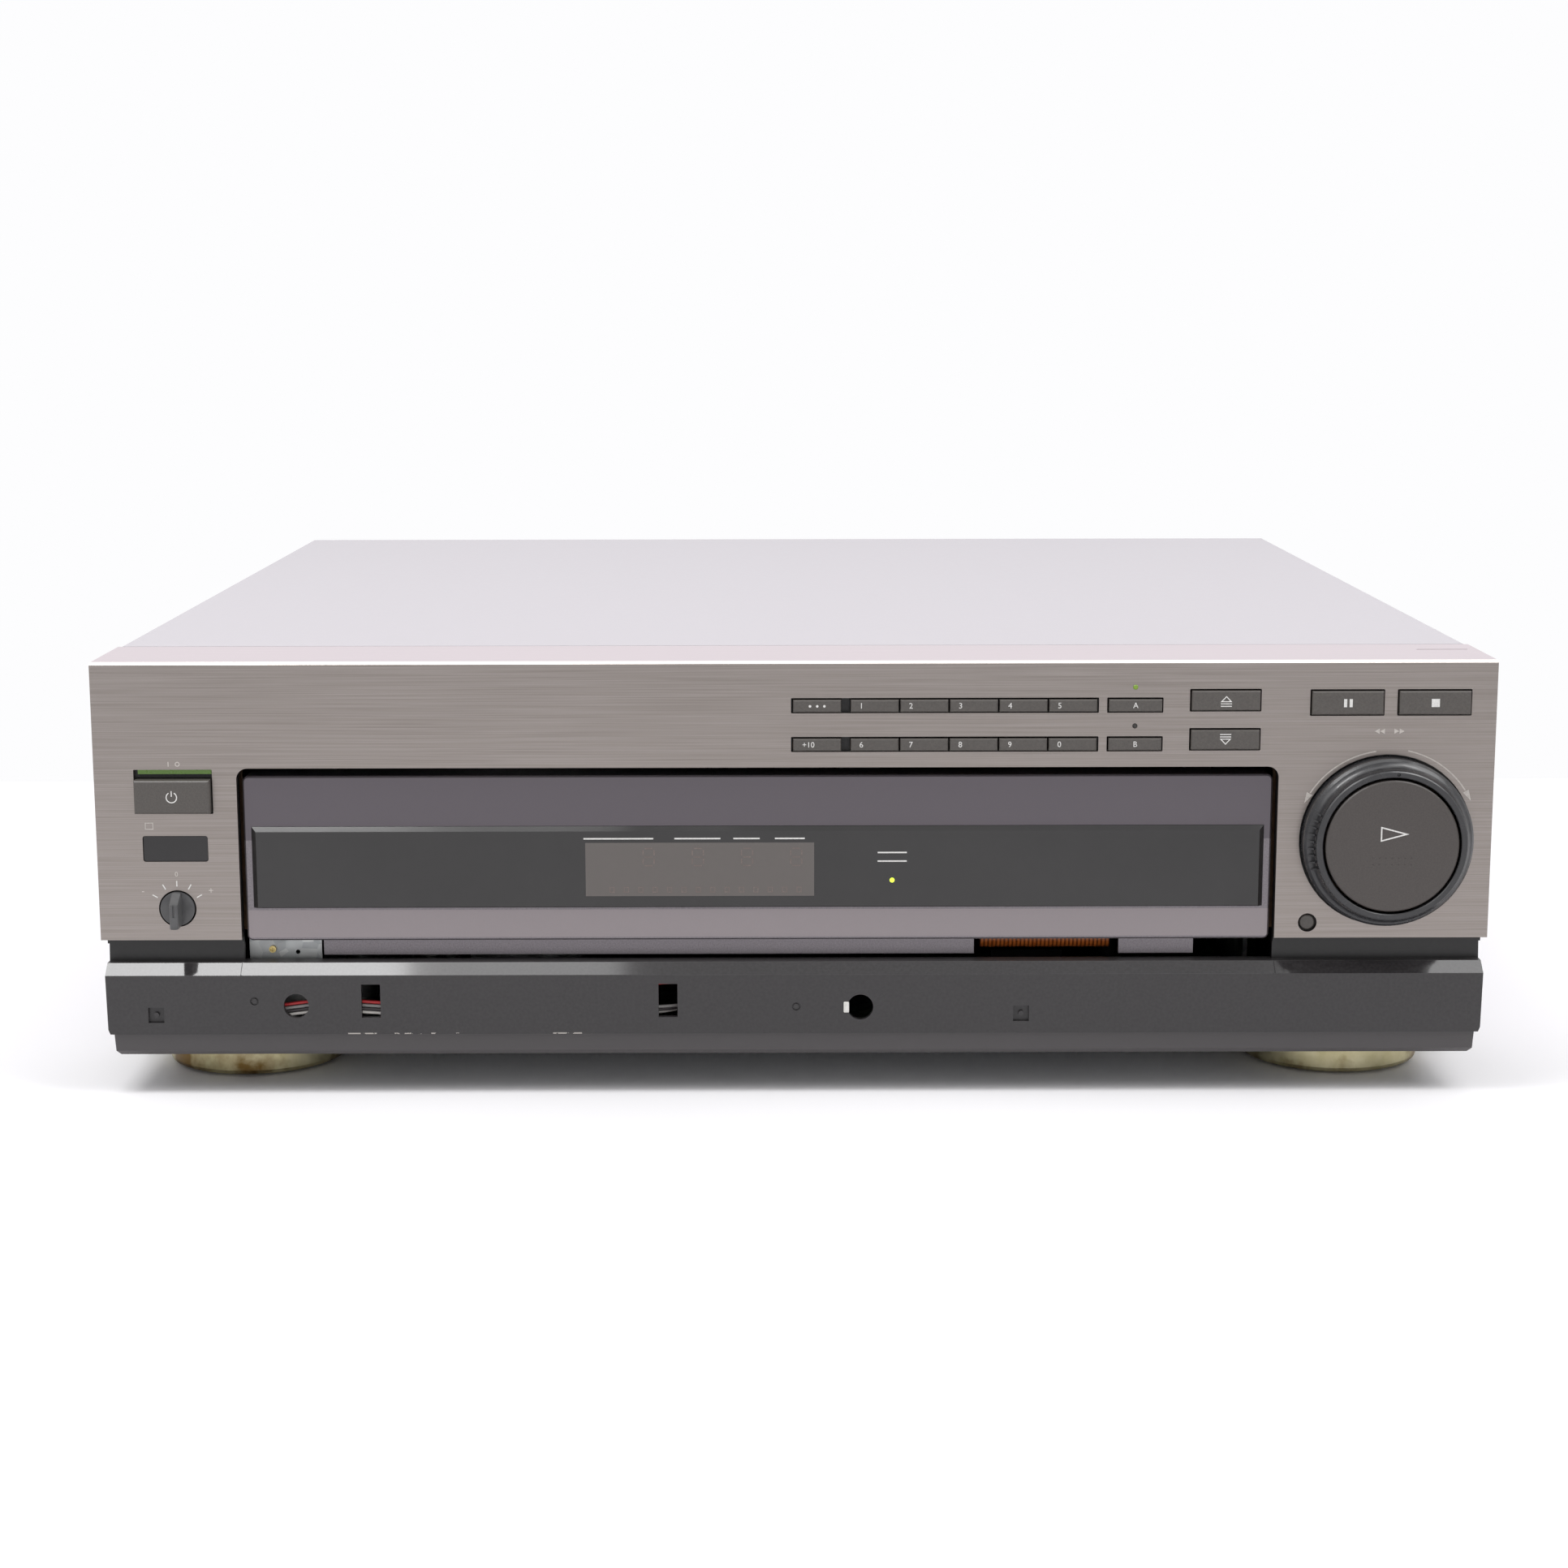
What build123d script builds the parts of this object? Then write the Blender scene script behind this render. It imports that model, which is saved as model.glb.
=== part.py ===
from build123d import *
import math
import os

# A front-loading laserdisc player, 430 mm wide, standing on four round feet.
# Millimetres. X to the right, Y from the front to the back, Z up.
# Everything is drawn from the face of the front panel (Y = 0), the ground (Z = 0) and the width's
# centre (X = 0), and is moved along Y at the very end so that the origin is under the middle of the box.

# ---- heights, stacked from the ground up ----
FOOT_H = 12.2
BAND_H = 7.0  # lower, set-back band of the plinth
FACE_H = 18.7  # flat face of the plinth
SHELF_H = 9.0  # bevel above the face, and the wall set back behind it
PANEL_GAP = 1.5  # that wall's top to the panel's lower edge
OPENING_H = 53.9  # tray opening, from the panel's lower edge
TOP_BAR_H = 32.7  # panel above the tray opening

# ---- the disc and what has to go round it ----
DISC_D = 300.0
POCKET_GAP = 2.0  # disc edge to pocket wall
TRAY_RIM = 4.0  # pocket wall to tray edge
DOOR_OVERLAP = 2.55  # door past the tray edge, each side
DOOR_GAP = 1.5  # door to the opening's side
LEFT_COLUMN = 43.7  # panel left of the opening
RIGHT_COLUMN = 66.2  # panel right of the opening

# ---- sheet and wall thicknesses ----
PANEL_T = 2.0
FRAME_T = 2.5
PLINTH_T = 2.2
PAN_T = 1.2
COVER_T = 1.0
BOARD_T = 1.6

# ---- depths ----
RETURN_D = 39.4  # top return of the front panel
COVER_SEAM = 1.2
COVER_DROP = 0.1  # lid below the panel's top
DOOR_RECESS = 1.5
DOOR_D = 12.0
POCKET_FRONT = 8.5  # door's back to the disc pocket
BACK_ROOM = 46.0  # pickup's turn to the outside of the back
COVER_INSET = 0.2  # cover side inside the panel's end
COVER_BEND = 1.2  # outer radius of the lid's bends
LIFT = 11.0  # how far the deck rises to take the disc

PANEL_H = OPENING_H + TOP_BAR_H
BAND_Z = FOOT_H
FACE_Z = BAND_Z + BAND_H
SHELF_Z = FACE_Z + FACE_H
FRAME_Z = SHELF_Z + SHELF_H
PANEL_Z = FRAME_Z + PANEL_GAP
TOP_Z = PANEL_Z + PANEL_H
OPENING_TOP = PANEL_Z + OPENING_H

TRAY_HALF = DISC_D / 2 + POCKET_GAP + TRAY_RIM
DOOR_HALF = TRAY_HALF + DOOR_OVERLAP
OPENING_HALF = DOOR_HALF + DOOR_GAP
PANEL_W = LEFT_COLUMN + 2 * OPENING_HALF + RIGHT_COLUMN
LEFT = -PANEL_W / 2
RIGHT = PANEL_W / 2
OPENING_X0 = LEFT + LEFT_COLUMN
OPENING_X1 = RIGHT - RIGHT_COLUMN
CX = (OPENING_X0 + OPENING_X1) / 2  # tray's centre line

FRAME_BACK = PANEL_T + FRAME_T
DOOR_BACK = DOOR_RECESS + DOOR_D
POCKET_R = DISC_D / 2 + POCKET_GAP
DISC_Y = DOOR_BACK + POCKET_FRONT + POCKET_R

# ---- the panel's features: from the left or right end, and down from the top edge ----
TRAY_OPENING_R = 3.4
POWER_X, POWER_W = 12.2, 24.1
POWER_DOWN, POWER_H = 33.0, 13.8
LIGHT_BAR_H = 1.3
LIGHT_BAR_GAP = 1.7  # light bar to power button
IR_X, IR_W = 14.2, 20.1
IR_DOWN, IR_H = 53.7, 8.1
IR_R = 0.8
KNOB_X, KNOB_UP = 24.2, 10.0  # from the left end, up from the lower edge
KNOB_R = 5.3
KNOB_GAP = 0.5
KNOB_PROUD = 6.5
GRIP_W = 2.6
KEYPAD_X = 149.8  # keypad's left end, left of the opening's right side
KEY_W, KEY_H = 14.6, 3.7
KEY_PITCH = 15.15
KEY_FILLER = 3.0  # black bar after the first key
KEY_MARGIN = 0.7  # recess round the keys, at the row's ends
KEY_ROW_DOWN = 11.2
KEY_ROW_PITCH = 12.0
KEY_SLOT_H = 4.7
SIDE_KEY_X, SIDE_KEY_W = 53.1, 17.2  # left of the opening's right side
SIDE_LIGHT_R = 0.75
SIDE_LIGHT_UP = 3.2  # light above its key's slot
OPEN_X, OPEN_W, OPEN_H = 27.8, 21.9, 7.0  # left of the opening's right side
OPEN_DOWN, OPEN_PITCH = 8.6, 12.1
STOP_W, STOP_H = 22.8, 8.2
PAUSE_X, STOP_X = 57.2, 30.5  # from the right end
STOP_DOWN = 8.8
DIAL_X, DIAL_UP = 32.6, 30.8  # from the right end, up from the lower edge
DIAL_GAP = 0.7
RING_R = 26.1
RING_BORE_R = 21.2
RING_PROUD = 10.0
RING_LIP_W = 1.9
PLAY_GAP = 0.8
PLAY_PROUD = 0.1  # past the ring
DISPLAY_KEY_X, DISPLAY_KEY_UP = 56.0, 4.8  # from the right end, up from the lower edge
DISPLAY_KEY_R = 2.35
DISPLAY_KEY_GAP = 0.55

# ---- buttons ----
SLOT_GAP = 0.5  # cap to the edge of its hole in the panel
GUIDE_GAP = 0.2  # cap to the edge of its hole in the frame
KEY_PROUD = 1.3
KEY_FLANGE = 0.7
KEY_FLANGE_T = 1.0
KEY_TRAVEL = 1.0
POWER_PROUD = 3.0
POWER_TRAVEL = 2.5
PLAY_TRAVEL = 1.2
STEM_W = 2.6
SWITCH_GAP = 0.3  # past full travel
RUN = 0.05  # radial clearance of a shaft in its hole
BOARD_Y = 12.6  # front of the control boards

# ---- door, window strip and display ----
DOOR_WALL = 2.5
DOOR_TOP_GAP = 2.7
DOOR_DROP = 0.55  # door below the panel's lower edge
STRIP_DOWN = 15.8  # from the door's top
STRIP_H = 25.4
STRIP_INSET = 2.4
STRIP_PROUD = 1.3
STRIP_SEAT = 0.8  # depth of the strip's seat in the door
STRIP_BEVEL = 1.4
DISPLAY_X = 105.3  # display's left end, from the door's left end
DISPLAY_W, DISPLAY_H = 70.6, 16.8
DISPLAY_DOWN = 5.0  # from the strip's top
DISPLAY_D = 6.4
LIP_Y = 6.0
LIP_T = 2.5
LIP_H = 5.6
LIP_X0, LIP_X1 = 22.9, 294.4  # from the door's left end
NOTCH_X0, NOTCH_X1 = 225.9, 271.1
RIBBON_T = 0.3
RIBBON_INSET = 2.3  # ribbon's edge inside the notch
RIBBON_BEND = 3.0

# ---- tray ----
TRAY_UP = 23.1  # tray's underside above the panel's lower edge
TRAY_T = 6.5
POCKET_T = 2.5  # floor under the disc
SMALL_POCKET_R = 61.0
SMALL_POCKET_DEEP = 1.2
WINDOW_R = 44.0
TRAY_BACK_RIM = 12.0
ARM_W = 17.0
ARM_L = 58.0  # arms behind the tray's body
TRAY_EXTRA = 4.0  # travel past the disc's back edge
RACK_M = 1.25
RACK_BAR = 3.0
RACK_H = 6.5
RACK_INSET = 6.0  # rack's back from the tray's edge

# ---- deck, turntable and pickup ----
TURN_R = 22.0  # radius of the rails' turn
RAIL_X = 24.0
RAIL_R = 2.5
CHEEK_T = 2.5
HOME_R = 27.0  # lens radius at the inner stop
SLED_TRAVEL = 120.0
SLED_L = 32.0
LENS_FRONT = 5.0  # lens centre from the sled's front
LENS_GAP = 2.0
PINION_M = 1.0
PINION_TEETH = 10
DECK_T = 2.0
DECK_HALF = 60.0
HUB_R = 17.3
TABLE_R = 20.5
CONE_R = 7.4
TABLE_T = 3.0
HUB_H = 2.5
CONE_H = 3.0
DISC_T = 2.6
MOTOR_R = 16.0
SHAFT_R = 2.0
CLAMP_GAP = 0.4
CAM_PIN_R = 2.0
CAM_GAP = 0.2
CAM_RATIO = 3.0
CAM_T = 1.5

# ---- loading gears ----
GEAR_Y = 64.0
GEAR_TEETH = 20
WHEEL_M = 1.0
WHEEL_TEETH = 40
DRIVE_TEETH = 10
POST_R = 3.0
BACKLASH = 0.24  # tooth flank to flank, measured along the pitch line

# ---- feet ----
FOOT_R = 28.5
FOOT_X = 175.0
FOOT_FRONT = 43.0
FOOT_REAR = 60.0  # from the back
FOOT_EDGE = 1.5  # rounding of a foot's lower edge
FOOT_UP = 0.8  # metal's lower edge above the ground
PAN_UP = 1.1  # pan above the plinth's lower edge
PAD_R = 22.0
PAD_GAP = 0.3
PAD_H = 3.0

# ---- plinth: along it from the panel's left end, and up from the lower edge of its face ----
PLINTH_Y = -3.7  # its face stands this far in front of the panel
PLINTH_IN = 1.65  # its ends inside the panel's
PLINTH_FLOOR_Y = 6.0  # back edge of its floor
PLINTH_TOP_IN = 0.2  # the ends lean in this far above the face
PLINTH_LOW_IN = 0.9  # the face's lower corners stand in this far
BEVEL_D, BEVEL_H = 3.6, 3.3  # polished bevel along the top of its face
WALL_Y = 3.2  # front of the wall behind the bevel
BAND_Y = -2.5
BAND_IN = 1.85  # the band's ends stand in this far
BAND_LOW_IN = 1.6  # and its lower corners this much further
BAND_BEVEL = 1.5
SEAM_W = 0.35
SEAM_DEEP = 0.5
HOLES = ((60.5, 9.0, 3.9), (235.4, 8.3, 4.0))  # (along, up, radius) of the round holes
WINDOW_XS = (80.7, 172.8)  # the two upright windows
WINDOW_W, WINDOW_H = 5.9, 10.6
WINDOW_UP = 5.2
BOSSES = ((47.6, 10.6), (215.5, 8.6))  # (along, up) of the ring bosses
BOSS_R = 1.35
BOSS_BORE_R = 0.8
RING_DEEP = 0.5
RECESS_XS = (17.0, 285.3)  # square screw recesses
RECESS_UP = 3.7
RECESS_W = 4.9
RECESS_DEEP = 1.2
RECESS_PIN_R = 0.8

# ---- bracket under the door ----
BRACKET_GAP = 0.8  # from the opening's side
BRACKET_W = 22.6
BRACKET_Y = 8.0
BRACKET_FOOT = 14.0
BRACKET_SCREW_X = 7.3  # from the bracket's left side
BRACKET_SCREW_DOWN = 4.7  # below the panel's lower edge
BRACKET_SCREW_R = 1.1
BRACKET_HOLE_X = 7.8  # from the screw
BRACKET_HOLE_R = 0.7

# ---- leads behind the plinth ----
WIRE_R = 0.5
WIRE_Y = -0.7
WIRE_UPS = (9.0, 7.8, 6.7, 5.6)  # above the lower edge of the plinth's face
WIRE_RISE = (7.0, 0.0, 0.0, 0.0)  # the first lead passes above the second window
WIRE_PITCH = 2.4  # at the plugs
PLUG_H = 6.0

# ---- the back ----
JACK_R = 4.15
JACK_OUT = 9.0
JACK_PITCH = 14.0
JACK_COLUMNS = 4
JACK_FROM_RIGHT = 145.0
JACK_UP = 30.0  # lower row above the pan
JACK_WALL = 0.9
JACK_HOLE_GAP = 0.6
JACK_PIN_R, JACK_PIN_BORE_R = 1.9, 1.3
INLET_X, INLET_Z = 30.0, 42.0  # from the left end, and above the ground
INLET_W, INLET_H = 16.4, 9.0
INLET_DEEP = 11.0
INLET_WALL = 1.8
INLET_RIM = 4.0
INLET_RIM_T = 1.2
INLET_HOLE_GAP = 0.2  # its shell to the hole in the back
PIN_R = 1.15
PIN_OUT = 4.3  # pin to the inlet's middle
VENT_X, VENT_Z = 65.0, 80.0
VENT_W, VENT_H = 2.5, 28.0
VENT_PITCH = 7.0
VENTS = 9
COVER_LIP = 12.0  # lid's lip over the back
SCREW_XS = (-190.0, -60.0, 60.0, 190.0)
SCREW_R, SCREW_H = 3.2, 1.8
SCREW_IN = 7.0  # screws from the back's upper and lower edges

# ---- loader and deck ----
GUIDE_SIDE = 2.0  # tray's edge to the frame's wall
GUIDE_T = 1.5
GUIDE_IN = 7.0
GUIDE_CLEAR = 0.3
BRIDGE_FRONT, BRIDGE_BACK = 34.0, 30.0  # from the disc's centre
BRIDGE_UP = 21.0
CLAMP_STEM_R = 3.0
PLAY_STEM_R = 6.0
PLAY_STOP = 1.5  # stem's end to the board, pressed
DRIVE_SHAFT_R = 1.0
PINION_DROP = 2.5  # pinion's centre above the rail's, towards the turn's centre
PINION_LEFT = 17.0  # left of the tray's centre line
PINION_W = 4.0
TRACK_BAR = 1.8  # rack behind its teeth
LENS_R = 3.2
BOARD_UP = 8.0  # boards above the pan

DEDENDUM = 1.25  # tooth's depth below the pitch line, in modules
PRESSURE = math.radians(20)
PAST = 20.0  # how far a cutting outline runs past the body

PAN_Z = FOOT_H + PAN_UP
FLOOR_Z = PAN_Z + PAN_T
TRAY_Z = PANEL_Z + TRAY_UP
TRAY_TOP = TRAY_Z + TRAY_T
POCKET_Z = TRAY_Z + POCKET_T
TRAY_END = DISC_Y + POCKET_R + TRAY_BACK_RIM
ARM_END = TRAY_END + ARM_L
TRAY_TRAVEL = DISC_Y + DISC_D / 2 + TRAY_EXTRA
PLAY_Z = TRAY_TOP  # disc's underside when the deck is up
TURN_Z = PLAY_Z + DISC_T / 2 - LIFT
RAIL_Z = TURN_Z - TURN_R
SLED_Y = DISC_Y + HOME_R - LENS_FRONT
TURN_Y = SLED_Y + SLED_L + SLED_TRAVEL + 4.0
BODY_D = TURN_Y + TURN_R + BACK_ROOM
FRAME_HALF = PANEL_W / 2 - 1.6
COVER_HALF = PANEL_W / 2 - COVER_INSET
PAN_HALF = COVER_HALF - COVER_T
COVER_Y = RETURN_D + COVER_SEAM
COVER_TOP = TOP_Z - COVER_DROP
BACK_Y = BODY_D - COVER_T - PAN_T
DIAL_CX, DIAL_CZ = RIGHT - DIAL_X, PANEL_Z + DIAL_UP
KNOB_CX, KNOB_CZ = LEFT + KNOB_X, PANEL_Z + KNOB_UP
DISPLAY_KEY_CX, DISPLAY_KEY_CZ = RIGHT - DISPLAY_KEY_X, PANEL_Z + DISPLAY_KEY_UP
ORIGIN_Y = (BODY_D + JACK_OUT - RING_PROUD - PLAY_PROUD) / 2
PLINTH_HALF = PANEL_W / 2 - PLINTH_IN
BAND_LOW_HALF = PLINTH_HALF - BAND_IN - BAND_LOW_IN
BRACKET_X0 = OPENING_X0 + BRACKET_GAP
BRACKET_SCREW_CX, BRACKET_SCREW_CZ = BRACKET_X0 + BRACKET_SCREW_X, PANEL_Z - BRACKET_SCREW_DOWN
JACK_CX = RIGHT - JACK_FROM_RIGHT
JACK_ROWS = (FLOOR_Z + JACK_UP, FLOOR_Z + JACK_UP + JACK_PITCH)
INLET_CX = LEFT + INLET_X
BOARD_Z = FLOOR_Z + BOARD_UP
SWITCH_Y = BOARD_Y - SWITCH_GAP - 1.2  # front of the switch that a key's stem presses

PLAY_STEM_END = BOARD_Y - PLAY_TRAVEL - PLAY_STOP

# ---- door ----
DOOR_X0, DOOR_X1 = CX - DOOR_HALF, CX + DOOR_HALF
DOOR_Z0, DOOR_Z1 = PANEL_Z - DOOR_DROP, OPENING_TOP - DOOR_TOP_GAP
STRIP_X0, STRIP_X1 = DOOR_X0 + STRIP_INSET, DOOR_X1 - STRIP_INSET
STRIP_Z1 = DOOR_Z1 - STRIP_DOWN
STRIP_Z0 = STRIP_Z1 - STRIP_H
STRIP_BACK = DOOR_RECESS + STRIP_SEAT
DISPLAY_X0 = DOOR_X0 + DISPLAY_X
DISPLAY_X1 = DISPLAY_X0 + DISPLAY_W
DISPLAY_Z1 = STRIP_Z1 - DISPLAY_DOWN
DISPLAY_Z0 = DISPLAY_Z1 - DISPLAY_H
RIBBON_Y = LIP_Y + LIP_T + 2.4
RIBBON_X0, RIBBON_X1 = DOOR_X0 + NOTCH_X0 + RIBBON_INSET, DOOR_X0 + NOTCH_X1 - RIBBON_INSET

# ---- gears ----
GEAR_X = CX - TRAY_HALF + RACK_INSET + RACK_BAR + DEDENDUM * RACK_M + RACK_M * GEAR_TEETH / 2
RACK_Z = TRAY_Z - RACK_H
GEAR_Z0 = RACK_Z + 0.3
WHEEL_Z0 = GEAR_Z0 - 8.0
WHEEL_H = 4.0
RACK_PITCH_X = GEAR_X - RACK_M * GEAR_TEETH / 2
RACK_Y0 = GEAR_Y - 3 * math.pi * RACK_M
DRIVE_X = GEAR_X + WHEEL_M * (WHEEL_TEETH + DRIVE_TEETH) / 2

# ---- loader and deck ----
BRIDGE_Y0, BRIDGE_Y1 = DISC_Y - BRIDGE_FRONT, DISC_Y + BRIDGE_BACK
BRIDGE_Z = TRAY_TOP + BRIDGE_UP
LOADER_Y0 = GEAR_Y - 19
CLAMP_Z = PLAY_Z + DISC_T + CLAMP_GAP
PINION_R = PINION_M * PINION_TEETH / 2
PINION_RACK_R = TURN_R - PINION_DROP + PINION_R  # pitch line of the pickup's rack
PINION_X = CX - PINION_LEFT
PINION_Y = SLED_Y + SLED_L / 2
TRACK_BACK_R = PINION_RACK_R + DEDENDUM * PINION_M + TRACK_BAR
TABLE_Z = PLAY_Z - LIFT
LENS_TOP = TABLE_Z - LENS_GAP
DECK_Z = RAIL_Z - 14.3
DECK_Y0 = DISC_Y - 46
CHEEK_X = RAIL_X + RAIL_R + 2.0
SADDLE_Y = TURN_Y + TRACK_BACK_R
DECK_END = SADDLE_Y + 8.5
UPPER_Y0 = DISC_Y + 36
LOWER_WALL_Y = DISC_Y + MOTOR_R + 1.5
CAM_X = DECK_HALF + 2.5
CAM_PIN_YS = (DISC_Y - 9, DISC_Y + 171)
CAM_PIN_Z = DECK_Z - 2.0

# ---- electrics ----
RIGHT_BAY_X0 = CX + TRAY_HALF + GUIDE_SIDE + GUIDE_T + 2.5
RIGHT_BAY_X1 = PAN_HALF - PAN_T - 2.5
MAIN_X0 = CX + CAM_X + CAM_T + 4
MAIN_FRONT_X0 = CX - 20.0
MAIN_FRONT_Y0 = 44.0


# ---- drawing helpers ----
def block(x0, x1, y0, y1, z0, z1):
    """A box between two corners."""
    return Pos((x0 + x1) / 2, (y0 + y1) / 2, (z0 + z1) / 2) * Box(x1 - x0, y1 - y0, z1 - z0)


def plate(x0, x1, z0, z1, r, y0, y1):
    """An upright plate with rounded corners, seen from the front, from y0 back to y1."""
    front = Plane(origin=((x0 + x1) / 2, y0, (z0 + z1) / 2), x_dir=(1, 0, 0), z_dir=(0, -1, 0))
    return extrude(front * RectangleRounded(x1 - x0, z1 - z0, r), amount=y0 - y1)


def bar_x(y, z, r, x0, x1):
    """A round bar along X."""
    return Pos((x0 + x1) / 2, y, z) * Rot(0, 90, 0) * Cylinder(r, x1 - x0)


def bar_y(x, z, r, y0, y1):
    """A round bar along Y."""
    return Pos(x, (y0 + y1) / 2, z) * Rot(90, 0, 0) * Cylinder(r, y1 - y0)


def bar_z(x, y, r, z0, z1):
    """A round bar along Z."""
    return Pos(x, y, (z0 + z1) / 2) * Cylinder(r, z1 - z0)


def side_profile(points, x0, x1):
    """A prism along X whose outline is given as (y, z) points."""
    face = make_face(Polyline(*[(0, y, z) for y, z in points], close=True))
    return Pos(x0, 0, 0) * extrude(face, amount=x1 - x0, dir=(1, 0, 0))


def front_profile(points, y0, y1):
    """A prism along Y whose outline is given as (x, z) points."""
    face = make_face(Polyline(*[(x, 0, z) for x, z in points], close=True))
    return Pos(0, y0, 0) * extrude(face, amount=y1 - y0, dir=(0, 1, 0))


def turned_y(x, z, points):
    """A turned piece about an axis along Y, from (radius, y) points."""
    face = make_face(Polyline(*[(r, y, 0) for r, y in points], close=True))
    return Pos(x, 0, z) * revolve(face, Axis.Y)


def turned_z(x, y, points):
    """A turned piece about an upright axis, from (radius, z) points."""
    face = make_face(Polyline(*[(r, 0, z) for r, z in points], close=True))
    return Pos(x, y, 0) * revolve(face, Axis.Z)


def near(value, target):
    return abs(value - target) < 0.01


def save(node, shape):
    """Write one node's solids, moved so that the origin is under the middle of the box."""
    shape = Pos(0, -ORIGIN_Y, 0) * shape
    solids = shape.solids()
    export_step(solids[0] if len(solids) == 1 else Compound(children=solids), f"parts/{node}.step")


# ---- where each key sits: (left, right, bottom, top) of its hole in the panel ----
def key_row_z(row):
    top = TOP_Z - KEY_ROW_DOWN - row * KEY_ROW_PITCH
    return top - KEY_SLOT_H, top


def keypad_slot(row):
    x0 = OPENING_X1 - KEYPAD_X
    x1 = x0 + 2 * KEY_MARGIN + KEY_W + KEY_FILLER + 4 * KEY_PITCH + KEY_W
    return (x0, x1) + key_row_z(row)


def key_cap(column, row):
    """The five plain keys are columns 1 to 5, and column 0 is the one left of the filler."""
    x0, x1, z0, z1 = keypad_slot(row)
    left = x0 + KEY_MARGIN
    if column:
        left += KEY_W + KEY_FILLER + (column - 1) * KEY_PITCH
    return left, left + KEY_W, z0 + (KEY_SLOT_H - KEY_H) / 2, z1 - (KEY_SLOT_H - KEY_H) / 2


def side_slot(row):
    x0 = OPENING_X1 - SIDE_KEY_X
    return (x0, x0 + SIDE_KEY_W) + key_row_z(row)


def open_slot(row):
    x0 = OPENING_X1 - OPEN_X
    top = TOP_Z - OPEN_DOWN - row * OPEN_PITCH
    return x0, x0 + OPEN_W, top - OPEN_H, top


def stop_slot(from_right):
    x0 = RIGHT - from_right
    top = TOP_Z - STOP_DOWN
    return x0, x0 + STOP_W, top - STOP_H, top


def power_slot():
    x0 = LEFT + POWER_X
    top = TOP_Z - POWER_DOWN
    return x0, x0 + POWER_W, top - POWER_H, top


def power_cap():
    x0, x1, z0, z1 = power_slot()
    return x0 + SLOT_GAP, x1 - SLOT_GAP, z0 + SLOT_GAP, z1 - LIGHT_BAR_H - LIGHT_BAR_GAP


def cap_in(slot):
    x0, x1, z0, z1 = slot
    return x0 + SLOT_GAP, x1 - SLOT_GAP, z0 + SLOT_GAP, z1 - SLOT_GAP


SLOTS = [keypad_slot(0), keypad_slot(1), side_slot(0), side_slot(1), open_slot(0), open_slot(1)]
SLOTS += [stop_slot(PAUSE_X), stop_slot(STOP_X), power_slot()]

CAPS = {"key_program": key_cap(0, 0), "key_plus_ten": key_cap(0, 1)}
for number in range(1, 6):
    CAPS[f"key_{number}"] = key_cap(number, 0)
for number in range(6, 11):
    CAPS[f"key_{number % 10}"] = key_cap(number - 5, 1)
CAPS["side_a_button"] = cap_in(side_slot(0))
CAPS["side_b_button"] = cap_in(side_slot(1))
CAPS["open_button"] = cap_in(open_slot(0))
CAPS["close_button"] = cap_in(open_slot(1))
CAPS["pause_button"] = cap_in(stop_slot(PAUSE_X))
CAPS["stop_button"] = cap_in(stop_slot(STOP_X))
CAPS["power_button"] = power_cap()


def travel_of(name):
    return POWER_TRAVEL if name == "power_button" else KEY_TRAVEL


# ---- casing ----
def front_panel():
    """Brushed aluminium: an upright face and a top that runs back to the seam."""
    bevel = 0.7
    outline = [
        (0, PANEL_Z),
        (0, TOP_Z - bevel),
        (bevel, TOP_Z),
        (RETURN_D, TOP_Z),
        (RETURN_D, TOP_Z - PANEL_T),
        (PANEL_T, TOP_Z - PANEL_T),
        (PANEL_T, PANEL_Z),
    ]
    panel = side_profile(outline, LEFT, RIGHT)
    panel -= plate(OPENING_X0, OPENING_X1, PANEL_Z - 20, OPENING_TOP, TRAY_OPENING_R, -1, PANEL_T + 1)
    for x0, x1, z0, z1 in SLOTS:
        panel -= plate(x0, x1, z0, z1, 0.3, -1, PANEL_T + 1)
    ir_top = TOP_Z - IR_DOWN
    panel -= plate(LEFT + IR_X, LEFT + IR_X + IR_W, ir_top - IR_H, ir_top, IR_R, -1, PANEL_T + 1)
    panel -= bar_y(KNOB_CX, KNOB_CZ, KNOB_R + KNOB_GAP, -1, PANEL_T + 1)
    panel -= bar_y(DIAL_CX, DIAL_CZ, RING_R + DIAL_GAP, -1, PANEL_T + 1)
    panel -= bar_y(DISPLAY_KEY_CX, DISPLAY_KEY_CZ, DISPLAY_KEY_R + DISPLAY_KEY_GAP, -1, PANEL_T + 1)
    for row in range(2):
        x0, x1, z0, z1 = side_slot(row)
        panel -= bar_y((x0 + x1) / 2, z1 + SIDE_LIGHT_UP, SIDE_LIGHT_R + 0.05, -1, PANEL_T + 1)
    slot_l, slot_w, slot_d, slot_y = 16.0, 0.8, 0.6, 26.7
    slot_x = RIGHT - 3.2
    y0, y1 = slot_y - slot_w / 2, slot_y + slot_w / 2
    panel -= block(slot_x - slot_l, slot_x, y0, y1, TOP_Z - slot_d, TOP_Z + 1)
    return panel


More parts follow.
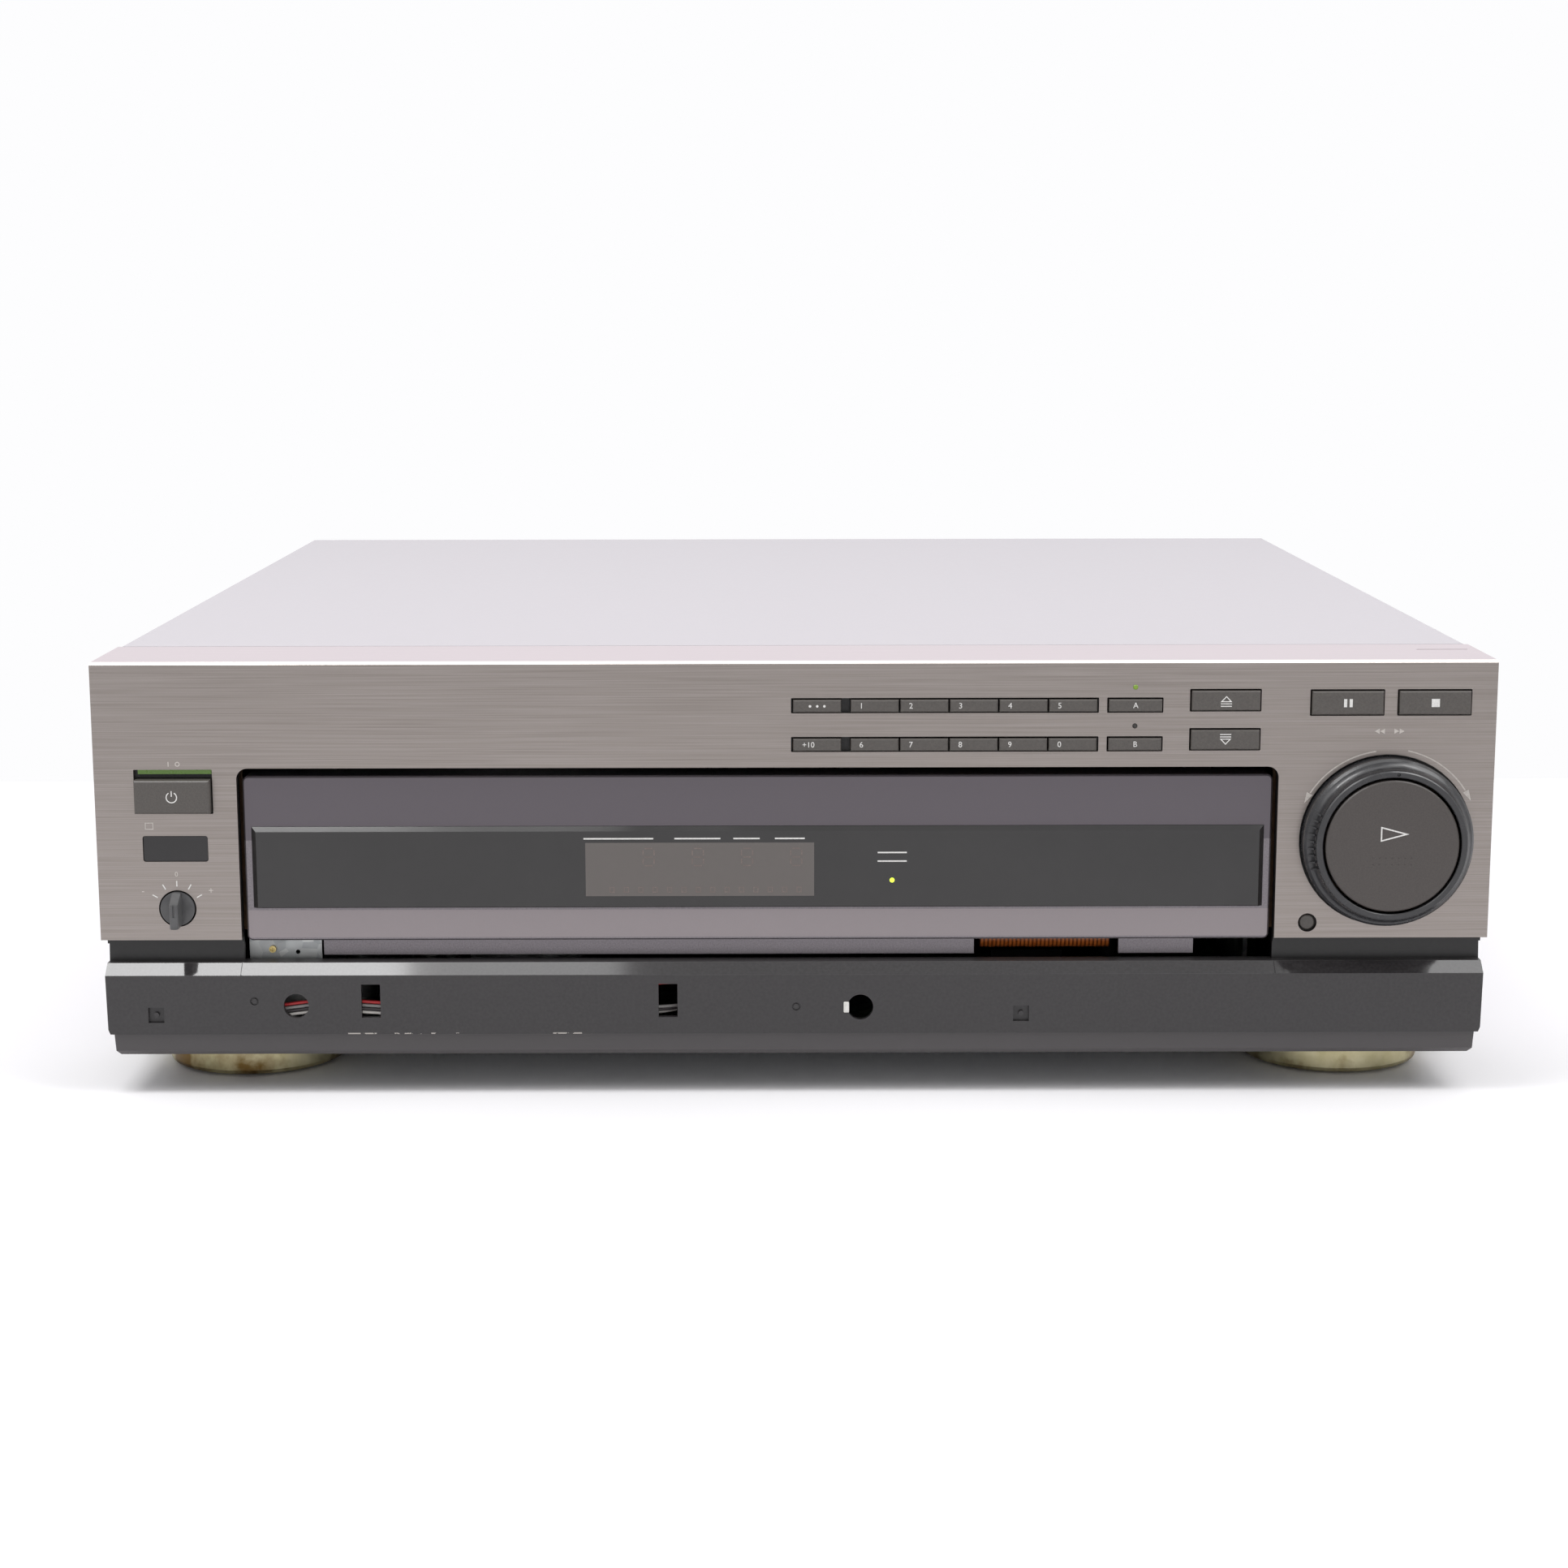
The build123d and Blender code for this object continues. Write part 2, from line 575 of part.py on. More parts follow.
def front_frame():
    """Black moulding behind the panel: a plate that guides every key, and the two side walls."""
    frame = block(-FRAME_HALF, FRAME_HALF, PANEL_T, FRAME_BACK, FRAME_Z, TOP_Z - PANEL_T)
    for side in (-1, 1):
        inner, outer = sorted((side * FRAME_HALF, side * (FRAME_HALF - FRAME_T)))
        frame += block(inner, outer, FRAME_BACK, RETURN_D, FRAME_Z, TOP_Z - PANEL_T)
    frame -= plate(OPENING_X0, OPENING_X1, FRAME_Z - 20, OPENING_TOP, TRAY_OPENING_R, 0, FRAME_BACK + 1)
    for x0, x1, z0, z1 in CAPS.values():
        frame -= block(x0 - GUIDE_GAP, x1 + GUIDE_GAP, 0, FRAME_BACK + 1, z0 - GUIDE_GAP, z1 + GUIDE_GAP)
    frame -= bar_y(KNOB_CX, KNOB_CZ, KNOB_R + 0.3, 0, FRAME_BACK + 1)
    frame -= bar_y(DIAL_CX, DIAL_CZ, RING_R + RUN, 0, FRAME_BACK + 1)
    frame -= bar_y(DISPLAY_KEY_CX, DISPLAY_KEY_CZ, DISPLAY_KEY_R + GUIDE_GAP, 0, FRAME_BACK + 1)
    return frame


def plinth():
    """Dark grey moulding under the panel: a set-back band, a face, a bevel, and a wall behind it."""
    slope = BEVEL_D / BEVEL_H
    slant = PLINTH_T * math.sqrt(1 + slope * slope)
    floor = BAND_Z + PLINTH_T
    step = FACE_Z + PLINTH_T
    inner_turn = SHELF_Z - (slant - PLINTH_T) / slope
    ledge = SHELF_Z + BEVEL_H
    under = ledge - PLINTH_T
    side = [
        (RETURN_D, FRAME_Z),
        (WALL_Y, FRAME_Z),
        (WALL_Y, ledge),
        (PLINTH_Y + BEVEL_D, ledge),
        (PLINTH_Y, SHELF_Z),
        (PLINTH_Y, FACE_Z),
        (BAND_Y, FACE_Z),
        (BAND_Y, BAND_Z + BAND_BEVEL),
        (BAND_Y + BAND_BEVEL, BAND_Z),
        (RETURN_D, BAND_Z),
    ]
    half = [
        (PLINTH_HALF - PLINTH_TOP_IN, FRAME_Z),
        (PLINTH_HALF, SHELF_Z),
        (PLINTH_HALF - PLINTH_LOW_IN / 3, FACE_Z + BAND_BEVEL),
        (PLINTH_HALF - PLINTH_LOW_IN, FACE_Z),
        (PLINTH_HALF - BAND_IN, FACE_Z),
        (PLINTH_HALF - BAND_IN - BAND_LOW_IN / 4, BAND_Z + BAND_BEVEL),
        (BAND_LOW_HALF, BAND_Z),
    ]
    front = half + [(-x, z) for x, z in reversed(half)]
    body = side_profile(side, LEFT, RIGHT) & front_profile(front, PLINTH_Y - 1, RETURN_D)
    inner_side = [
        (RETURN_D + PAST, FRAME_Z + PAST),
        (WALL_Y + PLINTH_T, FRAME_Z + PAST),
        (WALL_Y + PLINTH_T, under),
        (PLINTH_Y + slant + (under - SHELF_Z) * slope, under),
        (PLINTH_Y + PLINTH_T, inner_turn),
        (PLINTH_Y + PLINTH_T, step),
        (BAND_Y + PLINTH_T, step),
        (BAND_Y + PLINTH_T, floor),
        (PLINTH_FLOOR_Y, floor),
        (PLINTH_FLOOR_Y, BAND_Z - PAST),
        (RETURN_D + PAST, BAND_Z - PAST),
    ]
    upper_in = PLINTH_HALF - PLINTH_TOP_IN - PLINTH_T
    lower_in = BAND_LOW_HALF - PLINTH_T
    inner_half = [(upper_in, FRAME_Z + PAST), (upper_in, step), (lower_in, step), (lower_in, BAND_Z - PAST)]
    inner_front = inner_half + [(-x, z) for x, z in reversed(inner_half)]
    hollow = front_profile(inner_front, PLINTH_Y, RETURN_D + PAST)
    body -= side_profile(inner_side, LEFT, RIGHT) & hollow
    body -= block(OPENING_X0, OPENING_X1, PLINTH_Y - 1, LIP_Y + 4, ledge, FRAME_Z + 1)
    seam = [
        (PLINTH_Y - 1, SHELF_Z),
        (PLINTH_Y + SEAM_DEEP, SHELF_Z),
        (PLINTH_Y + SEAM_DEEP + BEVEL_D, ledge),
        (PLINTH_Y - 1, ledge),
    ]
    for x in (OPENING_X0, OPENING_X1):
        body -= side_profile(seam, x - SEAM_W / 2, x + SEAM_W / 2)
    return plinth_openings(body)


def plinth_openings(body):
    """Round holes, upright windows, ring bosses and square screw recesses along the face."""
    front, back = PLINTH_Y - 1, PLINTH_Y + PLINTH_T + 1
    for along, up, r in HOLES:
        body -= bar_y(LEFT + along, FACE_Z + up, r, front, back)
    window_z = FACE_Z + WINDOW_UP
    for along in WINDOW_XS:
        x = LEFT + along
        body -= block(x, x + WINDOW_W, front, back, window_z, window_z + WINDOW_H)
    for along, up in BOSSES:
        x, z = LEFT + along, FACE_Z + up
        body -= bar_y(x, z, BOSS_R, front, PLINTH_Y + RING_DEEP) - bar_y(x, z, BOSS_BORE_R, front, back)
    recess_z, half = FACE_Z + RECESS_UP, RECESS_W / 2
    floor_y = PLINTH_Y + RECESS_DEEP
    for along in RECESS_XS:
        x = LEFT + along
        body -= block(x - half, x + half, front, floor_y, recess_z, recess_z + RECESS_W)
        body += bar_y(x, recess_z + half, RECESS_PIN_R, PLINTH_Y + 0.3, floor_y + 0.1)
    return body


def chassis_pan():
    """Steel floor with turned-up sides, and the post that the loading gear turns on."""
    narrow = BAND_LOW_HALF - PLINTH_T
    pan = block(-narrow, narrow, PLINTH_FLOOR_Y, BACK_Y, PAN_Z, FLOOR_Z)
    pan += block(-PAN_HALF, PAN_HALF, COVER_Y, BACK_Y, PAN_Z, FLOOR_Z)
    side_h = 26.0
    for side in (-1, 1):
        x0, x1 = sorted((side * PAN_HALF, side * (PAN_HALF - PAN_T)))
        pan += block(x0, x1, COVER_Y, BACK_Y, PAN_Z, PAN_Z + side_h)
    pan += bar_z(GEAR_X, GEAR_Y, POST_R, FLOOR_Z, TRAY_Z - 0.4)
    pan += bar_z(GEAR_X, GEAR_Y, POST_R + 2, FLOOR_Z, WHEEL_Z0)
    return pan


def back_panel():
    """Steel back, cut for the sockets, with a louvred stretch."""
    top = COVER_TOP - COVER_T
    back = block(-PAN_HALF, PAN_HALF, BACK_Y, BACK_Y + PAN_T, PAN_Z, top)
    for column in range(JACK_COLUMNS):
        for z in JACK_ROWS:
            back -= bar_y(JACK_CX + column * JACK_PITCH, z, JACK_R + JACK_HOLE_GAP, BACK_Y - 1, BODY_D)
    half_w = INLET_W / 2 + INLET_WALL + INLET_HOLE_GAP
    half_h = INLET_H / 2 + INLET_WALL + INLET_HOLE_GAP
    back -= block(
        INLET_CX - half_w, INLET_CX + half_w, BACK_Y - 1, BODY_D, INLET_Z - half_h, INLET_Z + half_h
    )
    for n in range(VENTS):
        x = LEFT + VENT_X + n * VENT_PITCH
        vent_r = VENT_W / 2 - 0.05
        back -= plate(x, x + VENT_W, VENT_Z, VENT_Z + VENT_H, vent_r, BACK_Y - 1, BODY_D)
    corners = back.edges().filter_by(Axis.Y).filter_by(lambda e: near(e.center().Z, top))
    return fillet(corners.filter_by(lambda e: near(abs(e.center().X), PAN_HALF)), COVER_BEND - COVER_T)


def top_cover():
    """Painted steel lid: top, two sides and a short lip over the back panel."""
    bottom = PAN_Z + 2
    cover = block(-COVER_HALF, COVER_HALF, COVER_Y, BODY_D, bottom, COVER_TOP)
    outer_bend = cover.edges().filter_by(Axis.Y).filter_by(lambda e: near(e.center().Z, COVER_TOP))
    cover = fillet(outer_bend, COVER_BEND)
    hollow = block(-PAN_HALF, PAN_HALF, COVER_Y - 1, BODY_D - COVER_T, bottom - 1, COVER_TOP - COVER_T)
    inner_bend = hollow.edges().filter_by(Axis.Y).filter_by(lambda e: near(e.center().Z, COVER_TOP - COVER_T))
    hollow = fillet(inner_bend, COVER_BEND - COVER_T)
    cover -= hollow
    cover -= block(-PAN_HALF, PAN_HALF, BODY_D - COVER_T - 1, BODY_D + 1, bottom - 1, COVER_TOP - COVER_LIP)
    return cover


def foot_places():
    return [(x, y) for x in (-FOOT_X, FOOT_X) for y in (FOOT_FRONT, BODY_D - FOOT_REAR)]


def feet():
    """Four pressed metal discs, screwed under the pan, open below for the pad."""
    bend = FOOT_EDGE * (1 - math.cos(math.pi / 4))
    outline = [
        (0, PAN_Z),
        (FOOT_R - FOOT_EDGE, PAN_Z),
        (FOOT_R, PAN_Z - FOOT_EDGE),
        (FOOT_R, FOOT_UP + FOOT_EDGE),
        (FOOT_R - bend, FOOT_UP + bend),
        (FOOT_R - FOOT_EDGE, FOOT_UP),
        (PAD_R + PAD_GAP, FOOT_UP),
        (PAD_R + PAD_GAP, PAD_H),
        (0, PAD_H),
    ]
    return Compound(children=[turned_z(x, y, outline) for x, y in foot_places()])


def foot_pads():
    """Rubber pads pressed into the feet: what the player stands on."""
    return Compound(children=[bar_z(x, y, PAD_R, 0, PAD_H) for x, y in foot_places()])


def screw_head(x, z, r, y, height):
    """A cross-slotted pan head against a sheet at y; a height below zero faces the front."""
    far = y + height
    head = bar_y(x, z, r, min(y, far), max(y, far))
    wide, narrow, deep = r * 0.6, r * 0.13, abs(height) * 0.4
    for dx, dz in ((wide, narrow), (narrow, wide)):
        head -= block(x - dx, x + dx, far - deep, far + deep, z - dz, z + dz)
    return head


def screws():
    """Heads of the lid's, the back panel's and the bracket's screws."""
    pieces = [screw_head(BRACKET_SCREW_CX, BRACKET_SCREW_CZ, BRACKET_SCREW_R, BRACKET_Y, -1.0)]
    for x in SCREW_XS:
        pieces.append(screw_head(x, COVER_TOP - SCREW_IN, SCREW_R, BODY_D, SCREW_H))
        pieces.append(screw_head(x, PAN_Z + SCREW_IN, SCREW_R, BACK_Y + PAN_T, SCREW_H))
    return Compound(children=pieces)


def tray_bracket():
    """Galvanised corner bracket that stands on the pan under the door's left end."""
    x1 = BRACKET_X0 + BRACKET_W
    back = BRACKET_Y + PAN_T
    bracket = block(BRACKET_X0, x1, BRACKET_Y, back, FLOOR_Z, PANEL_Z - DOOR_DROP - 0.6)
    bracket += block(BRACKET_X0, x1, BRACKET_Y, BRACKET_Y + BRACKET_FOOT, FLOOR_Z, FLOOR_Z + PAN_T)
    hole_x = BRACKET_SCREW_CX + BRACKET_HOLE_X
    return bracket - bar_y(hole_x, BRACKET_SCREW_CZ - 1, BRACKET_HOLE_R, BRACKET_Y - 1, back + 1)


def ir_window():
    """Dark plastic window over the remote sensor."""
    gap = 0.15
    top = TOP_Z - IR_DOWN - gap
    x0 = LEFT + IR_X + gap
    return plate(x0, x0 + IR_W - 2 * gap, top - IR_H + 2 * gap, top, IR_R - gap, 0.4, PANEL_T)


def indicator_lights():
    """The light bar over the power button, and the two round lights over the side keys."""
    x0, x1, z0, z1 = power_slot()
    bar = block(x0 + 1.2, x1 - 0.3, 0.9, PANEL_T, z1 - LIGHT_BAR_H - 0.2, z1 - 0.2)
    pieces = [bar]
    for row in range(2):
        sx0, sx1, sz0, sz1 = side_slot(row)
        lamp = bar_y((sx0 + sx1) / 2, sz1 + SIDE_LIGHT_UP, SIDE_LIGHT_R, -0.3, PANEL_T)
        lamp = chamfer(lamp.edges().filter_by(lambda e: near(e.center().Y, -0.3)), 0.2)
        pieces.append(lamp)
    return Compound(children=pieces)


# ---- controls ----
def push_button(name):
    """A moulded cap with a bevelled front edge, a retaining flange and a stem."""
    x0, x1, z0, z1 = CAPS[name]
    proud = POWER_PROUD if name == "power_button" else KEY_PROUD
    flange_y = FRAME_BACK + 0.2
    cap = block(x0, x1, -proud, flange_y, z0, z1)
    front = cap.edges().filter_by(lambda e: near(e.center().Y, -proud))
    cap = chamfer(front, 0.45 if proud > 2 else 0.3)
    ends = KEY_FLANGE if name in ("power_button", "pause_button", "stop_button") else 0
    cap += block(
        x0 - ends,
        x1 + ends,
        flange_y,
        flange_y + KEY_FLANGE_T,
        z0 - KEY_FLANGE,
        z1 + KEY_FLANGE,
    )
    mid_x, mid_z = (x0 + x1) / 2, (z0 + z1) / 2
    stem_end = SWITCH_Y - travel_of(name)
    half = STEM_W / 2
    return cap + block(mid_x - half, mid_x + half, flange_y, stem_end, mid_z - half, mid_z + half)


def shuttle_ring():
    """Turning ring round the play button, with a waisted rim and finger ribs on its left."""
    front = -RING_PROUD
    waist_y = front + 5.2
    flange_y = FRAME_BACK + 0.3
    lip_r = RING_BORE_R + RING_LIP_W
    profile = Polyline(
        (RING_BORE_R, flange_y + 1.6, 0),
        (RING_BORE_R, front + 0.25, 0),
        (RING_BORE_R + 0.25, front, 0),
        (lip_r - 0.25, front, 0),
        (lip_r + 0.1, front + 0.35, 0),
    )
    cove = ThreePointArc(
        (lip_r + 0.1, front + 0.35, 0),
        ((lip_r + RING_R) / 2 - 0.75, (front + 0.35 + waist_y) / 2 + 0.35, 0),
        (RING_R - 0.7, waist_y - 0.5, 0),
    )
    outside = Polyline(
        (RING_R - 0.7, waist_y - 0.5, 0),
        (RING_R, waist_y + 0.4, 0),
        (RING_R, flange_y, 0),
        (RING_R + 1.8, flange_y, 0),
        (RING_R + 1.8, flange_y + 1.6, 0),
        (RING_BORE_R, flange_y + 1.6, 0),
    )
    ring = revolve(make_face([profile, cove, outside]), Axis.Y)
    rib_r = (lip_r + RING_R) / 2 - 0.35
    ribs, first, last = 9, 157, 198
    for n in range(ribs):
        angle = math.radians(first + (last - first) * n / (ribs - 1))
        rib = Pos(rib_r, front + 2.9, 0) * Rot(0, 0, 50) * Box(2.6, 0.9, 0.45)
        ring += Rot(0, -math.degrees(angle), 0) * rib
    dimple_r = (RING_BORE_R + lip_r) / 2
    ring -= Pos(dimple_r * math.cos(math.radians(87)), front, dimple_r) * Sphere(0.5)
    return Pos(DIAL_CX, 0, DIAL_CZ) * ring


def play_button():
    """Large round button inside the ring, on a round stem that slides in the board's cup."""
    r = RING_BORE_R - PLAY_GAP
    front = -RING_PROUD - PLAY_PROUD
    outline = [
        (0, front),
        (r - 0.4, front),
        (r, front + 0.4),
        (r, front + 5),
        (PLAY_STEM_R, front + 5),
        (PLAY_STEM_R, PLAY_STEM_END),
        (0, PLAY_STEM_END),
    ]
    button = turned_y(DIAL_CX, DIAL_CZ, outline)
    dots, dot_pitch, row_pitch = 7, 1.95, 2.0
    for row in range(2):
        for n in range(dots):
            x = DIAL_CX + (n - (dots - 1) / 2) * dot_pitch
            button -= bar_y(x, DIAL_CZ - 3.6 - row * row_pitch, 0.16, front - 1, front + 0.15)
    return button


def picture_knob():
    """Small knob with a bar grip right across it; the bar's upper end slopes back."""
    disc_front = -0.4
    disc_back = FRAME_BACK + 0.8
    knob = bar_y(KNOB_CX, KNOB_CZ, KNOB_R, disc_front, disc_back)
    grip = block(
        KNOB_CX - GRIP_W / 2,
        KNOB_CX + GRIP_W / 2,
        -KNOB_PROUD,
        disc_front,
        KNOB_CZ - KNOB_R,
        KNOB_CZ + KNOB_R,
    )
    grip = chamfer(grip.edges().filter_by(Axis.Z).filter_by(lambda e: near(e.center().Y, -KNOB_PROUD)), 0.4)
    grip &= bar_y(KNOB_CX, KNOB_CZ, KNOB_R, -KNOB_PROUD, disc_front)
    top = KNOB_CZ + KNOB_R
    slope = [
        (-KNOB_PROUD - 1, top - 3.6),
        (-KNOB_PROUD - 1, top + 1),
        (disc_front - 0.6, top + 1),
        (disc_front - 1.4, top - 0.3),
    ]
    grip -= side_profile(slope, KNOB_CX - GRIP_W, KNOB_CX + GRIP_W)
    mark = block(KNOB_CX - 0.3, KNOB_CX + 0.3, -KNOB_PROUD - 1, -KNOB_PROUD + 0.3, KNOB_CZ - 1.5, top)
    return knob + (grip - mark) + bar_y(KNOB_CX, KNOB_CZ, 3.0, disc_back, BOARD_Y + BOARD_T)


def display_button():
    """Tiny round button, set back in its hole."""
    flange_y = FRAME_BACK + 0.2
    button = bar_y(DISPLAY_KEY_CX, DISPLAY_KEY_CZ, DISPLAY_KEY_R, 0.7, flange_y)
    button = chamfer(button.edges().filter_by(lambda e: near(e.center().Y, 0.7)), 0.3)
    button += bar_y(DISPLAY_KEY_CX, DISPLAY_KEY_CZ, DISPLAY_KEY_R + 0.8, flange_y, flange_y + 0.8)
    stem_end = SWITCH_Y - KEY_TRAVEL
    return button + bar_y(DISPLAY_KEY_CX, DISPLAY_KEY_CZ, 1.2, flange_y, stem_end)


def control_boards():
    """Three boards behind the panel, with a switch behind each key."""
    back = BOARD_Y + BOARD_T
    edge = FRAME_HALF - FRAME_T - 0.5
    left = block(-edge, OPENING_X0 - 0.5, BOARD_Y, back, FRAME_Z + 2, TOP_Z - PANEL_T - 1)
    left -= bar_y(KNOB_CX, KNOB_CZ, 3.0 + RUN, BOARD_Y - 1, back + 1)
    middle_x0 = OPENING_X1 - KEYPAD_X - 5
    middle = block(middle_x0, OPENING_X1 - 0.5, BOARD_Y, back, OPENING_TOP + 1, TOP_Z - PANEL_T - 1)
    right = block(OPENING_X1 + 0.5, edge, BOARD_Y, back, FRAME_Z + 2, TOP_Z - PANEL_T - 1)
    cup = bar_y(DIAL_CX, DIAL_CZ, PLAY_STEM_R + 2, PLAY_STEM_END - 1.0, BOARD_Y)
    right += cup - bar_y(DIAL_CX, DIAL_CZ, PLAY_STEM_R + RUN, 0, BOARD_Y)
    for name, (x0, x1, z0, z1) in CAPS.items():
        mid_x, mid_z = (x0 + x1) / 2, (z0 + z1) / 2
        switch = block(mid_x - 2, mid_x + 2, SWITCH_Y, BOARD_Y, mid_z - 1.8, mid_z + 1.8)
        if mid_x < OPENING_X0:
            left += switch
        elif mid_x > OPENING_X1:
            right += switch
        else:
            middle += switch
    right += block(
        DISPLAY_KEY_CX - 2,
        DISPLAY_KEY_CX + 2,
        SWITCH_Y,
        BOARD_Y,
        DISPLAY_KEY_CZ - 2,
        DISPLAY_KEY_CZ + 2,
    )
    return Compound(children=[left, middle, right])


# ---- door and what rides on it ----
def tray_front():
    """Hollow moulded door, painted metallic, with a seat for the window strip."""
    door = plate(DOOR_X0, DOOR_X1, DOOR_Z0, DOOR_Z1, 1.8, DOOR_RECESS, DOOR_BACK)
    door = chamfer(door.edges().filter_by(lambda e: near(e.center().Y, DOOR_RECESS)), 0.5)
    inner = block(
        DOOR_X0 + DOOR_WALL,
        DOOR_X1 - DOOR_WALL,
        DOOR_RECESS + DOOR_WALL,
        DOOR_BACK + 1,
        DOOR_Z0 + DOOR_WALL,
        DOOR_Z1 - DOOR_WALL,
    )
    door -= inner
    door -= block(STRIP_X0 - 0.1, STRIP_X1 + 0.1, DOOR_RECESS - 1, STRIP_BACK, STRIP_Z0 - 0.1, STRIP_Z1 + 0.1)
    margin = 1.6
    door -= block(
        DISPLAY_X0 - margin,
        DISPLAY_X1 + margin,
        DOOR_RECESS,
        DOOR_BACK,
        DISPLAY_Z0 - margin,
        DISPLAY_Z1 + margin,
    )
    for x in (DISPLAY_X0 - 30, DISPLAY_X1 + 30):
        for z in (DOOR_Z0 + 9, DOOR_Z1 - 9):
            door += bar_y(x, z, 2.5, DOOR_RECESS + DOOR_WALL - 0.1, STRIP_BACK + 0.2 + DISPLAY_D)
    ribbon_top = DOOR_Z0 + DOOR_WALL + 1
    return door - block(RIBBON_X0 - 1, RIBBON_X1 + 1, RIBBON_Y - 1.2, DOOR_BACK + 1, DOOR_Z0 - 1, ribbon_top)


def window_strip():
    """Smoked acrylic bar, bevelled along its top and ends."""
    front = DOOR_RECESS - STRIP_PROUD
    strip = block(STRIP_X0, STRIP_X1, front, STRIP_BACK, STRIP_Z0, STRIP_Z1)
    top = [
        (front - 1, STRIP_Z1 - STRIP_BEVEL),
        (front, STRIP_Z1 - STRIP_BEVEL),
        (DOOR_RECESS, STRIP_Z1),
        (DOOR_RECESS, STRIP_Z1 + 1),
        (front - 1, STRIP_Z1 + 1),
    ]
    strip -= side_profile(top, STRIP_X0 - 1, STRIP_X1 + 1)
    for side, end in ((-1, STRIP_X0), (1, STRIP_X1)):
        wedge = Polyline(
            (end - side * STRIP_BEVEL, front, 0),
            (end, DOOR_RECESS, 0),
            (end + side, DOOR_RECESS, 0),
            (end + side, front - 1, 0),
            (end - side * STRIP_BEVEL, front - 1, 0),
            close=True,
        )
        strip -= Pos(0, 0, STRIP_Z0 - 1) * extrude(make_face(wedge), amount=STRIP_H + 2, dir=(0, 0, 1))
    low = strip.edges().filter_by(Axis.X).filter_by(lambda e: near(e.center().Z, STRIP_Z0))
    return chamfer(low.filter_by(lambda e: near(e.center().Y, front)), 0.3)


def display_tube():
    """Flat glass display tube behind the strip, on its own board inside the door."""
    front = STRIP_BACK + 0.2
    edge = 1.3  # glass past what lights
    tube = block(
        DISPLAY_X0 - edge, DISPLAY_X1 + edge, front, front + DISPLAY_D, DISPLAY_Z0 - edge, DISPLAY_Z1 + edge
    )
    board = block(
        DISPLAY_X0 - 36,
        max(DISPLAY_X1 + 36, RIBBON_X1 + 3),
        front + DISPLAY_D,
        front + DISPLAY_D + BOARD_T,
        DOOR_Z0 + 5,
        DOOR_Z1 - 5,
    )
    return tube + board


def tray_lip():
    """Painted flange under the door, notched where the flat cable comes down."""
    back, low = LIP_Y + LIP_T, DOOR_Z0 - LIP_H
    lip = block(DOOR_X0 + LIP_X0, DOOR_X0 + LIP_X1, LIP_Y, back, low, DOOR_Z0)
    return lip - block(DOOR_X0 + NOTCH_X0, DOOR_X0 + NOTCH_X1, LIP_Y - 1, back + 1, low - 1, DOOR_Z0 - 0.4)


def display_ribbon():
    """Flat orange cable: down behind the notch, back under the door and up to the tray."""
    low = DOOR_Z0 - LIP_H + 0.4
    board_low = DOOR_Z0 + 9
    back_y = RIBBON_Y + 17
    path = FilletPolyline(
        (0, RIBBON_Y, board_low),
        (0, RIBBON_Y, low),
        (0, back_y, low),
        (0, back_y, TRAY_Z),
        radius=RIBBON_BEND,
    )
    outer = offset_band(path)
    return Pos(RIBBON_X0, 0, 0) * extrude(outer, amount=RIBBON_X1 - RIBBON_X0, dir=(1, 0, 0))


def offset_band(path):
    """A thin band that follows a path in the YZ plane."""
    flat = Plane(origin=(0, 0, 0), x_dir=(0, 1, 0), z_dir=(1, 0, 0))
    local = flat.to_local_coords(path)
    return flat * trace(local, RIBBON_T)


# ---- toothed pieces ----
def tooth_outline(module, width):
    """Half-widths of a straight-sided tooth: (height from the pitch line, half-width)."""
    slope = math.tan(PRESSURE)
    half = width / 2
    return [
        (-DEDENDUM * module, half + DEDENDUM * module * slope),
        (module, half - module * slope),
    ]


def rack_teeth(module, y0, count):
    """Outline of a rack's teeth as (height, y) pairs, running along Y."""
    width = math.pi * module / 2 - BACKLASH / 2
    low, high = tooth_outline(module, width)
    points = []
    for n in range(count):
        centre = y0 + n * math.pi * module
        points += [(low[0], centre - low[1]), (high[0], centre - high[1])]
        points += [(high[0], centre + high[1]), (low[0], centre + low[1])]
    return points


def gear_outline(module, teeth):
    """A gear's outline as (x, y) points, with its first tooth gap pointing along +X."""
    pitch = module * teeth / 2
    base = pitch * math.cos(PRESSURE)
    tip = pitch + module
    root = pitch - DEDENDUM * module
    half_pitch = (math.pi * module / 2 - BACKLASH / 2) / 2 / pitch
    involute_pitch = math.tan(PRESSURE) - PRESSURE
    flank = []
    for k in range(4):
        r = max(base, root) + (tip - max(base, root)) * k / 3
        pressure = math.acos(min(1.0, base / r))
        flank.append((r, half_pitch + involute_pitch - (math.tan(pressure) - pressure)))
    if root < base:
        flank.insert(0, (root, flank[0][1]))
    points = []
    for n in range(teeth):
        centre = 2 * math.pi * (n + 0.5) / teeth
        sides = [(r, centre - a) for r, a in flank] + [(r, centre + a) for r, a in reversed(flank)]
        points += [(r * math.cos(a), r * math.sin(a)) for r, a in sides]
    return points


def gear_z(x, y, module, teeth, turn, z0, z1):
    """An upright gear; turn is the angle of one of its tooth gaps."""
    face = make_face(Polyline(*[(px, py, 0) for px, py in gear_outline(module, teeth)], close=True))
    return Pos(x, y, z0) * Rot(0, 0, turn) * extrude(face, amount=z1 - z0, dir=(0, 0, 1))


